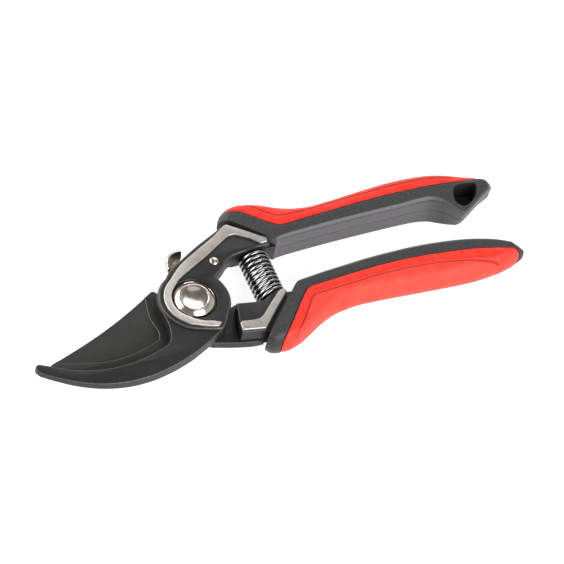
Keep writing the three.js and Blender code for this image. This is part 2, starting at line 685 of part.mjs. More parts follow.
piece(bladeHalf, 'lower_forging', lowerForging, materials.coatedSteel());
piece(bladeHalf, 'cutting_blade', cuttingBlade, materials.bladeSteel());
bladeRivetCentres.forEach((centre, i) => {
  const rivet = disc(bladeRivetRadius, hubBack, bladeFront, centre, 24);
  piece(bladeHalf, `blade_rivet_${i + 1}`, rivet, materials.plainSteel());
});
piece(bladeHalf, 'lower_spring_seat', lowerSpringSeat, materials.blackPlastic());
piece(bladeHalf, 'lower_handle_core', handleCore('lower'), materials.greyPlastic());
piece(bladeHalf, 'lower_grip', handleGrip('lower'), materials.redRubber());

piece(latch, 'latch_lever', latchLever, materials.nickel());

export default shears;
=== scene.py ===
import math

import bmesh
import bpy
import numpy as np
from mathutils import Matrix, Vector
from mathutils.geometry import tessellate_polygon


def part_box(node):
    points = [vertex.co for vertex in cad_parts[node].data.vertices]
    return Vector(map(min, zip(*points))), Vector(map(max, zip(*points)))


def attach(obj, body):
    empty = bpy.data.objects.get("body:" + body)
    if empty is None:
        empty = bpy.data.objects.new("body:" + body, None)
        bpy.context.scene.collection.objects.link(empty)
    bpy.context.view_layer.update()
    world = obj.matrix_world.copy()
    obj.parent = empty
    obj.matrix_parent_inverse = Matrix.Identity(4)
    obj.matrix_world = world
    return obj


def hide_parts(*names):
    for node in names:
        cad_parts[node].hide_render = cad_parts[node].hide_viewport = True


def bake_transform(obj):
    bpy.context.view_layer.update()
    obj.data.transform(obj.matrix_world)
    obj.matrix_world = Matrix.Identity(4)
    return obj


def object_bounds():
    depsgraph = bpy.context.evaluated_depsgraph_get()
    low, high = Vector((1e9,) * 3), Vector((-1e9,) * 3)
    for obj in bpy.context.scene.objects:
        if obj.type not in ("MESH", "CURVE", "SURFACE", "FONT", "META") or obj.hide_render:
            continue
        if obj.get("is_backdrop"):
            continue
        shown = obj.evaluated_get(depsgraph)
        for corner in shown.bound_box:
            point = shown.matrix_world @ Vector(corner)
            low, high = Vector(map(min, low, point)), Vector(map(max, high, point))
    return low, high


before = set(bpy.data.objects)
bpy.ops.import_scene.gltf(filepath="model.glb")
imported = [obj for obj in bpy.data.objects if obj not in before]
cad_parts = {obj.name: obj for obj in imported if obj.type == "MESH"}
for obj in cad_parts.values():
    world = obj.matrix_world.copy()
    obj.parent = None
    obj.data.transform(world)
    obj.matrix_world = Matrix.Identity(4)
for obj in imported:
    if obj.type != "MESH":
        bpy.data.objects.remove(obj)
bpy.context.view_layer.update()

# ---------- the closed shears on their back, and the camera above the blades' end ----------
# +X runs from the pivot to the handle ends, and +Z is the front. Sizes below are in millimetres. The
# lens is long and far off, so that little is foreshortened.

MM = 0.001

TURN = math.radians(34.85)
CLIMB = math.asin(0.808)
ROLL = math.radians(15.0)
VIEW_WIDTH = 228.42
level_right = Vector((math.cos(TURN), -math.sin(TURN), 0))
level_up = Vector((math.sin(TURN) * math.sin(CLIMB), math.cos(TURN) * math.sin(CLIMB), math.cos(CLIMB)))
right = level_right * math.cos(ROLL) + level_up * math.sin(ROLL)
up = level_up * math.cos(ROLL) - level_right * math.sin(ROLL)
back = right.cross(up)
aim = Vector((37.3, -3.2, 14.4)) * MM
camera_data = bpy.data.cameras.new("long_lens")
camera_data.lens = 1200
camera_data.sensor_width = 36
camera_data.clip_end = 60
camera = bpy.data.objects.new("long_lens", camera_data)
distance = VIEW_WIDTH * MM * camera_data.lens / camera_data.sensor_width
turn = Matrix((right, up, back)).transposed().to_4x4()
camera.matrix_world = Matrix.Translation(aim + back * distance) @ turn
bpy.context.scene.collection.objects.link(camera)
bpy.context.scene.camera = camera


# ---------- lower forging ----------
# A drop forging of steel: round hub behind the blade, a flat arm, and a full height block that
# carries the spring. It is coated black, and the raised strip on the block is ground bright.

class Wire:
    """A socket of a material's node tree. Python arithmetic on it adds Math nodes."""

    def __init__(self, tree, socket=None):
        self.tree, self.socket = tree, socket

    def node(self, kind, settings=(), values=(), out=0):
        made = self.tree.nodes.new(kind)
        for name, value in dict(settings).items():
            if name == "stops":
                stops = made.color_ramp.elements
                while len(stops) < len(value):
                    stops.new(1.0)
                for stop, (place, colour) in zip(stops, value):
                    stop.position, stop.color = place, colour
            else:
                setattr(made, name, value)
        for name, value in dict(values).items():
            if isinstance(value, Wire):
                self.tree.links.new(value.socket, made.inputs[name])
            else:
                made.inputs[name].default_value = value
        return Wire(self.tree, made.outputs[out])

    def sum_of(self, operation, first, second):
        return self.node("ShaderNodeMath", {"operation": operation}, {0: first, 1: second})

    def __add__(self, other):
        return self.sum_of("ADD", self, other)

    def __mul__(self, other):
        return self.sum_of("MULTIPLY", self, other)

    __radd__, __rmul__ = __add__, __mul__

    def between(self, low, high, start=0.0, end=1.0):
        """start below low, end above high, and a soft step from one to the other."""
        return self.node("ShaderNodeMapRange", {"interpolation_type": "SMOOTHSTEP"},
                         {"Value": self, "From Min": low, "From Max": high, "To Min": start, "To Max": end},
                         "Result")

    def kept(self, name):
        """A value that the piece's own mesh holds at each point."""
        return self.node("ShaderNodeAttribute", {"attribute_name": name}, (), "Fac")

    def grain(self, scale, detail=2.0, roughness=0.5):
        return self.node("ShaderNodeTexNoise", {}, {
            "Vector": self, "Scale": scale, "Detail": detail, "Roughness": roughness}, "Fac")

    def stretched(self, size, angle=0.0):
        """The place turned so that the angle lies along X, and then scaled."""
        turned = self.node("ShaderNodeMapping", {}, {"Vector": self, "Rotation": (0, 0, -angle)})
        return self.node("ShaderNodeMapping", {}, {"Vector": turned, "Scale": size})

    def mix(self, first, second):
        """Colours first to second, by this mask."""
        return self.node("ShaderNodeMix", {"data_type": "RGBA"}, {0: self, 6: first, 7: second}, 2)

    def bump(self, strength, depth):
        return self.node("ShaderNodeBump", {}, {
            "Strength": strength, "Distance": depth, "Height": self}, "Normal")


def new_finish(name):
    """A material, the place on the piece as a wire, and a call that sets the shader's sockets."""
    material = bpy.data.materials.new(name)
    material.use_nodes = True
    tree = material.node_tree
    shader = tree.nodes["Principled BSDF"]

    def wear(values):
        for socket, value in values.items():
            if isinstance(value, Wire):
                tree.links.new(value.socket, shader.inputs[socket])
            else:
                shader.inputs[socket].default_value = value

    return material, Wire(tree).node("ShaderNodeTexCoord", out="Object"), wear


coated_steel, place, wear = new_finish("black coated steel")
pores = place.grain(4200, 3, 0.6)
peel = place.grain(1300, 3, 0.6)
clouds = place.grain(160, 4, 0.55)
scuffs = place.stretched((1400, 260, 900), 0.6).grain(1.0, 4, 0.7)
# rounded edges are painted a pale, half metallic grey: partly wear of the coat, partly a painted highlight
rubbed_and_lit = place.kept("worn") * peel.between(0.28, 0.62, 0.35, 1.0)
coat = (clouds.between(0.35, 0.7) * 0.5 + peel.between(0.35, 0.75) * 0.5).mix(
    (0.010, 0.0098, 0.0095, 1), (0.021, 0.020, 0.0195, 1))
wear({
    "Base Color": rubbed_and_lit.mix(coat, (0.19, 0.18, 0.175, 1)),
    "Metallic": rubbed_and_lit * 0.5,
    "Roughness": scuffs.between(0.3, 0.75, 0.34, 0.44) + pores.between(0.3, 0.7, 0, 0.06),
    "Specular IOR Level": 0.5,
    "Normal": (pores * 0.35 + peel * 0.65).bump(0.5, 0.00012),
})

ground_steel, place, wear = new_finish("ground bare steel")
lines = place.stretched((300, 2700, 300), math.radians(-66)).grain(1.0, 3, 0.6)
fine_lines = place.stretched((900, 9000, 900), math.radians(-62)).grain(1.0, 2, 0.5)
stain = place.grain(260, 4, 0.6)
streaks = lines.between(0.3, 0.7) * 0.65 + stain.between(0.3, 0.7) * 0.35
past_hub = place.node("ShaderNodeSeparateXYZ", (), {"Vector": place}, "X").between(-0.004, 0.008)
polished = past_hub.mix(
    streaks.mix((0.60, 0.56, 0.53, 1), (0.82, 0.78, 0.74, 1)),
    streaks.mix((0.41, 0.38, 0.355, 1), (0.66, 0.615, 0.575, 1)))
wear({
    # the strips' rounded edges are painted near white: a painted highlight, partly wear of the edge
    "Base Color": place.kept("worn").mix(polished, (1.0, 0.96, 0.92, 1)),
    "Metallic": 0.85,
    "Roughness": lines.between(0.3, 0.7, 0.36, 0.5),
    "Normal": (lines * 0.6 + fine_lines * 0.4).bump(0.35, 0.00008),
})


def through(points, steps):
    """A smooth line through the points."""
    p = np.array([points[0], *points, points[-1]], float)
    line = []
    for share in np.linspace(0, len(points) - 1, steps):
        i = min(int(share), len(points) - 2)
        t = share - i
        a, b, c, d = p[i:i + 4]
        line.append(0.5 * (2 * b + (c - a) * t + (2 * a - 5 * b + 4 * c - d) * t ** 2
                           + (3 * b - a - 3 * c + d) * t ** 3))
    return [tuple(q) for q in line]


def arc(centre, radius, start, end, steps):
    angles = np.radians(np.linspace(start, end, steps))
    return [(centre[0] + radius * math.cos(a), centre[1] + radius * math.sin(a)) for a in angles]


def eased_corners(loop, radius):
    """The same closed loop with its corners rounded."""
    p, eased = np.array(loop, float), []
    for before, corner, after in zip(np.roll(p, 1, 0), p, np.roll(p, -1, 0)):
        gaps = [np.linalg.norm(before - corner), np.linalg.norm(after - corner)]
        reach = min(radius, 0.45 * min(gaps))
        a = corner + (before - corner) / max(gaps[0], 1e-9) * reach
        b = corner + (after - corner) / max(gaps[1], 1e-9) * reach
        eased += [tuple((1 - t) ** 2 * a + 2 * t * (1 - t) * corner + t ** 2 * b)
                  for t in (0, 0.2, 0.4, 0.6, 0.8, 1)]
    return eased


def area(loop):
    x, y = np.array(loop).T
    return 0.5 * float(np.sum(x * np.roll(y, -1) - np.roll(x, -1) * y))


def outward(loop):
    """Unit directions out of a counterclockwise loop, longer at its corners as a mitre is."""
    p = np.array(loop, float)
    along = np.roll(p, -1, 0) - p
    along /= np.maximum(np.linalg.norm(along, axis=1), 1e-9)[:, None]
    sides = np.stack([along[:, 1], -along[:, 0]], 1)
    mitre = sides + np.roll(sides, 1, 0)
    return 2 * mitre / np.maximum(np.sum(mitre ** 2, axis=1), 1.2)[:, None]


def mesh_of(name, points, faces, materials, flat=(), angle=38):
    """A mesh object at the origin from points in millimetres, smooth up to an edge angle."""
    mesh = bpy.data.meshes.new(name)
    mesh.from_pydata([tuple(c * MM for c in p) for p in points], [], faces)
    mesh.validate()
    mesh.shade_smooth()
    for material in materials:
        mesh.materials.append(material)
    for index in flat:
        mesh.polygons[index].use_smooth = False
    mesh.set_sharp_from_angle(angle=math.radians(angle))
    made = bpy.data.objects.new(name, mesh)
    bpy.context.scene.collection.objects.link(made)
    return made


class Body:
    """Closed shells that are gathered into one mesh, each with the number of its material."""

    def __init__(self):
        self.points, self.faces, self.flat, self.slots, self.worn = [], [], [], [], []

    def shell(self, points, faces, flat=(), slot=0, worn=None):
        start, first = len(self.points), len(self.faces)
        self.worn += [0.0] * len(points) if worn is None else worn
        self.points += [tuple(float(c) for c in p) for p in points]
        self.faces += [[start + i for i in face] for face in faces]
        self.flat += [first + i for i in flat]
        self.slots += [slot] * len(faces)
        return self

    def plate(self, outline, low, high, edge=0.3, foot=0.15, draft=0.0, holes=(), slot=0, foot_in=None,
              foot_up=None, rubbed_and_lit_edge=0.6):
        """A plate between two heights: a rounded front edge, marked for a paler colour that is partly edge
        wear and partly a painted highlight, and a chamfered back edge whose width and height may differ from
        point to point of its outline."""
        loops = [list(outline) if area(outline) > 0 else list(outline)[::-1]]
        loops += [list(hole) if area(hole) < 0 else list(hole)[::-1] for hole in holes]
        inner = np.full(len(loops[0]), foot) if foot_in is None else np.array(foot_in, float)
        rise = np.full(len(loops[0]), foot) if foot_up is None else np.array(foot_up, float)
        if area(outline) <= 0:
            inner, rise = inner[::-1], rise[::-1]
        points, faces, flat, worn, tops, bottoms = [], [], [], [], [], []
        for number, loop in enumerate(loops):
            p, out, count = np.array(loop, float), outward(loop), len(loop)
            own_in = inner if number == 0 else np.full(count, min(foot, 0.1))
            own_up = rise if number == 0 else np.full(count, min(foot, 0.1))
            own_draft = draft if number == 0 else 0.0
            rings = [(own_in, np.full(count, low)), (np.zeros(count), low + own_up)]
            for a in np.radians([0, 22.5, 45, 67.5, 90]):
                rings.append((np.full(count, own_draft + edge * (1 - math.cos(a))),
                              np.full(count, high - edge + edge * math.sin(a))))
            first = len(points)
            # the rings of the rounded front edge are marked for a paler colour: partly edge wear, partly a
            # painted highlight
            for (inset, z), rub_and_light in zip(rings, (0, 0, 0, 0.35, 1, 0.8, 0)):
                flat_place = p - out * inset[:, None]
                points += [(x, y, h) for (x, y), h in zip(flat_place, z)]
                worn += [rub_and_light * rubbed_and_lit_edge if number == 0 else 0.0] * count
            for ring in range(len(rings) - 1):
                for i in range(count):
                    a, b = first + ring * count + i, first + ring * count + (i + 1) % count
                    faces.append([a, b, b + count, a + count])
            bottoms.append([first + i for i in range(count)])
            tops.append([first + (len(rings) - 1) * count + i for i in range(count)])
        for loop_set, facing in ((tops, 1), (bottoms, -1)):
            order = [i for loop in loop_set for i in loop]
            corners = [[Vector(points[i]).to_2d().to_3d() for i in loop] for loop in loop_set]
            triangles = [[order[i] for i in triangle] for triangle in tessellate_polygon(corners)]
            turn_of = facing * sum(area([points[i][:2] for i in triangle]) for triangle in triangles)
            for a, b, c in triangles:
                flat.append(len(faces))
                faces.append([a, b, c] if turn_of > 0 else [a, c, b])
        return self.shell(points, faces, flat, slot, worn)

    def turned(self, profile, centre=(0, 0), sides=72, slot=0, along_y=False):
        """A turned piece: its profile runs as (radius, height) from pole to pole, from low to high."""
        points = [(0, 0, profile[0][1])]
        rings = [(r, h) for r, h in profile[1:-1]]
        for r, h in rings:
            points += [(r * math.cos(a), r * math.sin(a), h)
                       for a in np.linspace(0, 2 * math.pi, sides, endpoint=False)]
        points.append((0, 0, profile[-1][1]))
        faces = [[0, 1 + (i + 1) % sides, 1 + i] for i in range(sides)]
        for ring in range(len(rings) - 1):
            a = 1 + ring * sides
            faces += [[a + i, a + (i + 1) % sides, a + sides + (i + 1) % sides, a + sides + i]
                      for i in range(sides)]
        last, base = len(points) - 1, 1 + (len(rings) - 1) * sides
        faces += [[base + i, base + (i + 1) % sides, last] for i in range(sides)]
        if along_y:
            points = [(centre[0] + x, h, centre[1] - y) for x, y, h in points]
        else:
            points = [(centre[0] + x, centre[1] + y, h) for x, y, h in points]
        return self.shell(points, faces, (), slot)

    def made(self, name, materials, angle=38):
        piece = mesh_of(name, self.points, self.faces, materials, self.flat, angle)
        piece.data.polygons.foreach_set("material_index", self.slots)
        piece.data.attributes.new("worn", "FLOAT", "POINT").data.foreach_set("value", self.worn)
        welded = bmesh.new()
        welded.from_mesh(piece.data)
        bmesh.ops.remove_doubles(welded, verts=welded.verts, dist=0.002 * MM)
        welded.to_mesh(piece.data)
        welded.free()
        return piece


hub_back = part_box("lower_forging")[0].z / MM
blade_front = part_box("cutting_blade")[1].z / MM
rim_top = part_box("lower_forging")[1].z / MM
rim_step = 1.0
pocket_floor = rim_top - rim_step
handle_middle = (hub_back + pocket_floor) / 2
hub_radius, hub_thickness, hub_hole = 13.5, 1.8, 4.1
seat_low = -8.5
neck_front = handle_middle + 3
tang_half = 2.75

lower_edge = through([(22.5, -23.1), (17.5, -22.8), (10, -21.1), (4, -19.3), (1, -18.1), (-2.6, -13.4)], 30)
arm = [*arc((0, 0), hub_radius + 0.3, -99, -16.6, 24), (15.4, -4.4), (18.4, -3.4), (19.6, -6),
       (22, -12), (23.5, -18), *lower_edge]
block = [(15.9, -7), (24, seat_low), (34.8, seat_low), (35.4, -6.4), (37.6, -6.1), (38, -7.6), (24.4, -21),
         (22.4, -22.7), (12.8, -20.9), (13.2, -17), (14.6, -12)]
neck = [(34.8, seat_low), (37.4, -6.1), (41.2, -6.6), (25.2, -22.6), (22.6, -22.4), (20, -18)]
strip = [(12.9, -20.2), *through([(13.1, -18.4), (13.4, -16.8), (14.4, -16.25)], 6),
         *through([(19, -17), (22, -16.9), (24.5, -15.4), (29, -11.4), (33.4, -7.6)], 22),
         (35.2, -6.2), (37.3, -6.2), (37.7, -7.5), *through([(30, -14.6), (24, -20.6), (22.4, -22.1)], 8)]
tang = [(31, -9), (39, -7.8), (47, -6.8), (58, -6), (94, -6.6), (94, -11.8), (58, -12.8), (47, -14.4),
        (39, -17), (31, -21)]
lower_forging = (
    Body()
    .plate(arc((0, 0), hub_radius, 0, 357, 120), hub_back, hub_back + hub_thickness, 0.12, 0.35,
           holes=[arc((0, 0), hub_hole, 0, 350, 36)])
    .plate(arm, hub_back + 0.03, blade_front, 0.3, 0.5)
    .plate(block, hub_back, pocket_floor, 0.32, 0.5, rubbed_and_lit_edge=0.8)
    .plate(neck, hub_back + 0.06, neck_front, 0.28, 0.5)
    .plate(eased_corners(strip, 1.0), pocket_floor - 0.6, rim_top, 0.3, 0, slot=1)
    .plate(tang, handle_middle - tang_half, handle_middle + tang_half, 0.3, 0.3)
    .made("lower_forging_piece", [coated_steel, ground_steel])
)
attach(lower_forging, "blade_half")
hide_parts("lower_forging")


# ---------- cutting blade and its two rivets ----------
# A hardened steel plate with a non-stick coating, half lapped over the hub and riveted to it.
# Its face is ground back behind a raised land, and its back is ground down to the edge.

blade_steel, place, wear = new_finish("coated blade steel")
pores = place.grain(4200, 3, 0.6)
clouds = place.grain(120, 4, 0.5)
draws = place.stretched((180, 2600, 600), math.radians(-12)).grain(1.0, 4, 0.65)
coat = (clouds.between(0.3, 0.7) * 0.5 + draws.between(0.35, 0.7) * 0.5).mix(
    (0.012, 0.0118, 0.0105, 1), (0.022, 0.0215, 0.0195, 1))
# rounded edges, the land's edge most, are painted a pale metallic grey: partly wear, partly a painted
# highlight
rubbed_and_lit = place.kept("worn")
wear({
    "Base Color": rubbed_and_lit.mix(coat, (0.26, 0.25, 0.235, 1)),
    "Metallic": rubbed_and_lit * 0.6,
    "Roughness": draws.between(0.3, 0.75, 0.38, 0.46) + pores.between(0.3, 0.7, 0, 0.06),
    "Specular IOR Level": 0.5,
    "Normal": (pores * 0.7 + draws * 0.3).bump(0.25, 0.00008),
})

blade_tip = -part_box("cutting_blade")[0].x / MM
blade_root = 16
land_height = 0.4
thinnest = 0.2


def along_blade(reach, points):
    """Points given as (share of the way from the root to the tip, y)."""
    return [(-blade_root - share * (reach - blade_root), y) for share, y in points]


spine = through([*along_blade(blade_tip, [
    (1, -13), (0.9, -9.6), (0.79, -7.7), (0.61, -4.4), (0.43, -0.7), (0.25, 3.6), (0.07, 8.5)]),
    (-14, 11.7), (-12.8, 12.1), (-11.8, 11.7)], 60)
edge_line = through([(-12, -14), *along_blade(blade_tip, [
    (0, -18.5), (0.07, -21.5), (0.22, -24.3), (0.36, -25.4), (0.5, -25), (0.65, -23), (0.79, -19.5),
    (0.9, -16.2), (1, -13)])], 70)
hub_turn = arc((0, 0), hub_radius, 138, -130, 70)
land_line = through([(-16.9, 10.4), (-17.2, 8.6), (-18, 5), (-18.7, 0), (-18.2, -4), (-17.7, -7),
                     (-18.4, -9.4), *along_blade(blade_tip, [
                         (0.07, -11), (0.25, -13.7), (0.43, -14.8), (0.61, -13.3), (0.8, -10.4),
                         (0.9, -9.7)])], 90)
outline = [*spine, *hub_turn, *edge_line[:-1]]
blunt = [thinnest] * (len(spine) + len(hub_turn))
from_root = np.linspace(-0.6, 9, len(edge_line) - 1)
ground = blunt + list(np.clip(from_root, thinnest, 5))
ground[-5:] = [4, 3, 2.2, 1.4, 0.6]
lifted = blunt + list(np.clip(from_root, thinnest, 1.6))
land = [*land_line, *spine[1:6][::-1], spine[0], *edge_line[::-1][1:-1], *hub_turn[::-1],
        *[p for p in spine[::-1] if p[0] > -16.2]]
cutting_blade = (
    Body()
    .plate(outline, hub_back + hub_thickness + 0.1, blade_front - land_height, 0.05,
           foot_in=ground, foot_up=lifted)
    .plate(land, blade_front - land_height - 0.2, blade_front, 0.26, 0.0, rubbed_and_lit_edge=0.85)
    .made("blade", [blade_steel])
)
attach(cutting_blade, "blade_half")
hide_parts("cutting_blade")

plain_steel, place, wear = new_finish("turned plain steel")
turning = place.grain(1500, 3, 0.6)
wear({
    "Base Color": turning.between(0.3, 0.7).mix((0.40, 0.40, 0.39, 1), (0.56, 0.55, 0.54, 1)),
    "Metallic": 1.0,
    "Roughness": turning.between(0.3, 0.7, 0.28, 0.42),
    "Normal": turning.bump(0.15, 0.00005),
})
rivet_radius = 1.6
for which in (1, 2):
    low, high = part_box(f"blade_rivet_{which}")
    back, front = low.z / MM, high.z / MM
    middle = ((low.x + high.x) / 2 / MM, (low.y + high.y) / 2 / MM)
    rivet = Body().turned([
        (0, back - 0.02), (rivet_radius - 0.3, back - 0.02), (rivet_radius, back + 0.15),
        (rivet_radius, front - 0.15), (rivet_radius - 0.15, front + 0.02), (0, front + 0.03),
    ], middle, 36).made(f"flush_rivet_{which}", [plain_steel])
    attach(rivet, "blade_half")
    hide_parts(f"blade_rivet_{which}")


# ---------- pivot bolt, washers and bush ----------
# A hexagon bolt put in from the back, on a washer. It turns in a bronze bush, and a thin bronze
# washer keeps the blade off the hook forging. The washers and the bush are plain punched pieces.

head_top, shank_radius = 2.4, 4
head_radius, bolt_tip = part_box("pivot_bolt")[1].y / MM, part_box("pivot_bolt")[1].z / MM
corners = arc((0, 0), head_radius, 30, 330, 6)
rounded_hexagon = [(ax + (bx - ax) * t, ay + (by - ay) * t)
                   for (ax, ay), (bx, by) in zip(corners, corners[1:] + corners[:1])
                   for t in (0.06, 0.35, 0.65, 0.94)]
pivot_bolt = (
    Body()
    .plate(rounded_hexagon, 0, head_top, 0.2, 0.55)
    .turned([(0, head_top - 0.2), (shank_radius, head_top - 0.2), (shank_radius, bolt_tip - 0.4),
             (shank_radius - 0.4, bolt_tip), (0, bolt_tip)])
    .made("hexagon_bolt", [plain_steel])
)
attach(pivot_bolt, "hook_half")
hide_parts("pivot_bolt")

bronze, place, wear = new_finish("sintered bronze")
pores = place.grain(3000, 3, 0.7)
wear({
    "Base Color": pores.between(0.35, 0.65).mix((0.36, 0.21, 0.09, 1), (0.55, 0.36, 0.17, 1)),
    "Metallic": 1.0,
    "Roughness": pores.between(0.3, 0.7, 0.34, 0.5),
    "Normal": pores.bump(0.3, 0.00005),
})

spring_steel, place, wear = new_finish("bright spring steel")
drawn = place.grain(900, 4, 0.6)
fine = place.grain(6000, 2, 0.5)
wear({
    # the wire's side towards the coil's axis is painted near black: painted shade between the coils
    "Base Color": place.kept("inside").mix(
        drawn.between(0.3, 0.7).mix((0.40, 0.40, 0.41, 1), (0.56, 0.56, 0.57, 1)), (0.012, 0.012, 0.012, 1)),
    "Metallic": 1.0,
    "Roughness": drawn.between(0.3, 0.7, 0.12, 0.22),
    "Normal": (drawn * 0.5 + fine * 0.5).bump(0.08, 0.00004),
})
for node, finish in (("back_washer", plain_steel), ("pivot_bushing", bronze), ("friction_washer", bronze),
                     ("cap_spring_washer", spring_steel), ("latch_wave_washer", spring_steel)):
    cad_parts[node].data.materials.clear()
    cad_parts[node].data.materials.append(finish)


# ---------- hook forging ----------
# Hook, round body, arm and tang are one drop forging, coated black. A band round the body and along
# the arm stands up by the rim's step and is ground bright, and the cap nut sits in a turned recess.

hook_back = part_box("pivot_bushing")[0].z / MM
hook_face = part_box("pivot_bushing")[1].z / MM + 0.05
hook_reach = -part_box("hook_forging")[0].x / MM
body_radius = 14.7
recess_radius, bore_radius = 9.24, 5.2

hook_inside = through(along_blade(hook_reach, [
    (0.02, -16), (0.07, -17.6), (0.24, -20.3), (0.41, -21.4), (0.58, -20.5), (0.75, -17.7), (0.89, -13.4),
    (0.965, -11.1)]), 60)
hook_nose = through(along_blade(hook_reach, [
    (0.965, -11.1), (0.985, -11.3), (0.998, -12.2), (1, -13.6), (0.982, -15.5)]), 16)
hook_outside = through([*along_blade(hook_reach, [
    (0.982, -15.5), (0.9, -19), (0.75, -24.2), (0.58, -28), (0.41, -29.7), (0.24, -29.5), (0.07, -27.6)]),
    (-10, -24.4), (-5, -22.2), (0, -19.8), (5, -17), (9.5, -13)], 110)
body_right = arc((0.6, 0), body_radius, -40, 30, 30)
hook_line = [*hook_inside[:-1], *hook_nose[:-1], *hook_outside, *body_right,
             *arc((-0.3, 0.3), body_radius, 120, 193, 30),
             *through([(-14.5, -5.6), (-14.6, -8.5), (-15.1, -11.2), (-15.9, -14.2)], 14)]
thinner = []
for x, y in hook_line:
    on_outside = (x, y) in hook_outside or (x, y) in hook_nose[4:]
    thinner.append(max(0.03, -(x + body_radius) / (hook_reach - body_radius)) if on_outside and x < 0 else 0)

arm_underside = through([
    (13.1, 7.9), (15, 9.1), (18, 11.3), (20.3, 13.3), (24, 14.9), (30, 15.7), (33, 16)], 24)
arm_end = [(40.6, 16), (40.4, 18.8), (27.6, 30.4), (26.3, 30.9), (23.2, 30)]
arm_top = through([(23.2, 30), (17, 27.2), (10.4, 24.3), (0.4, 19.1), (-5.4, 15.6)], 24)
body_line = [*body_right[:-1], *arm_underside, *arm_end[:-1], *arm_top,
             *arc((-0.3, 0.3), body_radius, 122, 222, 50),
             *through([(-8.4, -12.4), (-5, -14.1), (0, -15.8), (5.5, -17.1), (8.2, -15.2)], 16)]
rim_line = [(39.8, 19.3), *through([(26.6, 29.6), (26, 29.8), (25, 29.5)], 5),
            *through([(18.3, 25.5), (10.4, 21.7), (0.5, 16.6), (-6.4, 10.9)], 20),
            *arc((0, 0), 12.6, 126, 226, 50),
            *through([(-6.4, -11.4), (0, -14.3), (4.4, -15.6)], 12), (6.3, -14.3),
            *through([(3, -12.6), (-1, -11.3), (-4.4, -9)], 10), *arc((0, 0), 9.5, 240, 132, 50),
            *through([(-3, 10.1), (0, 11.8), (7, 15.2), (14, 18.6), (20, 21.9)], 16),
            *through([(23, 23.5), (25.4, 24.55), (28, 24.3)], 8), (33, 21), (36.6, 17.3), (39.4, 17.3)]
arm_block = [(24.5, 16), (42.97, 16), (42.97, 16.6), (27.6, 30.8), (26.3, 31.2), (23.2, 29.9),
             (20.5, 28.6), (20.5, 19), (22.2, 16.8)]
tang = [(33, 19.8), (40, 19.2), (48, 19.2), (58, 19.5), (94, 19.8), (94, 24.2), (58, 25.1), (48, 26),
        (40, 27.6), (33, 30.2)]
hook_forging = (
    Body()
    .plate(hook_line, hook_back, hook_face, 0.5, 0.15, holes=[arc((0, 0), bore_radius, 0, 350, 36)],
           foot_in=[0.15 + 3.0 * min(t * 2.2, 1) for t in thinner],
           foot_up=[0.15 + 2.75 * t for t in thinner])
    .plate(body_line, hook_back + 0.02, pocket_floor, 0.9, 0.15, 0.35,
           holes=[arc((0, 0), recess_radius, 0, 356, 90)])
    .plate(arm_block, hub_back, neck_front, 0.02, 0.4)
    .plate(eased_corners(rim_line, 0.5), pocket_floor - 0.8, rim_top, 0.32, 0, slot=1)
    .plate(tang, handle_middle - tang_half, handle_middle + tang_half, 0.3, 0.3)
    .made("hook_forging_piece", [coated_steel, ground_steel])
)
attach(hook_forging, "hook_half")
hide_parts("hook_forging")


# ---------- cap nut ----------
# A nickel plated nut screwed onto the bolt's end. It is turned, with a bevelled rim round a shallow
# dish, and polished.

nickel, place, wear = new_finish("polished nickel")
haze = place.grain(420, 4, 0.6)
fine = place.grain(7000, 2, 0.5)
wear({
    "Base Color": haze.between(0.3, 0.7).mix((0.74, 0.67, 0.59, 1), (0.82, 0.76, 0.69, 1)),
    "Metallic": 1.0,
    "Roughness": haze.between(0.3, 0.7, 0.13, 0.2),
    "Normal": fine.bump(0.06, 0.00003),
})
cap_low, cap_high = (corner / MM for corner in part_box("pivot_cap_nut"))
cap_radius, cap_top = cap_high.x, cap_high.z
bevel = [(cap_radius - inset, cap_top - drop) for inset, drop in through([
    (0, 1.8), (0.12, 1.55), (0.5, 1.22), (1.1, 0.74), (1.7, 0.28), (2.05, 0.08), (2.35, 0.02),
    (2.62, 0.1)], 26)]
dish_lip, dish_depth, dish_radius = 0.3, 0.78, cap_radius - 2.75
dish = [(r, cap_top - dish_lip - dish_depth * (1 - (r / dish_radius) ** 2))
        for r in np.linspace(dish_radius - 0.15, 0.4, 18)]
cap_nut = Body().turned([
    (0, cap_low.z), (cap_radius - 0.4, cap_low.z), (cap_radius - 0.05, cap_low.z + 0.3), *bevel, *dish,
    (0, cap_top - dish_lip - dish_depth)], sides=128).made("cap_nut", [nickel], 60)
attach(cap_nut, "hook_half")
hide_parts("pivot_cap_nut")


# ---------- latch ----------
# A pressed steel lever, nickel plated, behind the arm. Its nose locks the hubs of the blade half, and its
# thumb piece is bent up beside the arm, with pressed ribs outside. It turns on a domed rivet.

lever_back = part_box("latch_lever")[0].z / MM
thumb_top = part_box("latch_lever")[1].z / MM
lever_front = hook_back - 0.1
pivot = (14.8, 14.9)
nose = math.radians(97)
thumb_x, thumb_y, thumb_radius = 4, 18.9, 6.6
flare, slide_x, slide_y = 0.65, 0.9, 0.1


def beside_nose(distance_out, side):
    return (distance_out * math.cos(nose) - side * math.sin(nose),
            distance_out * math.sin(nose) + side * math.cos(nose))


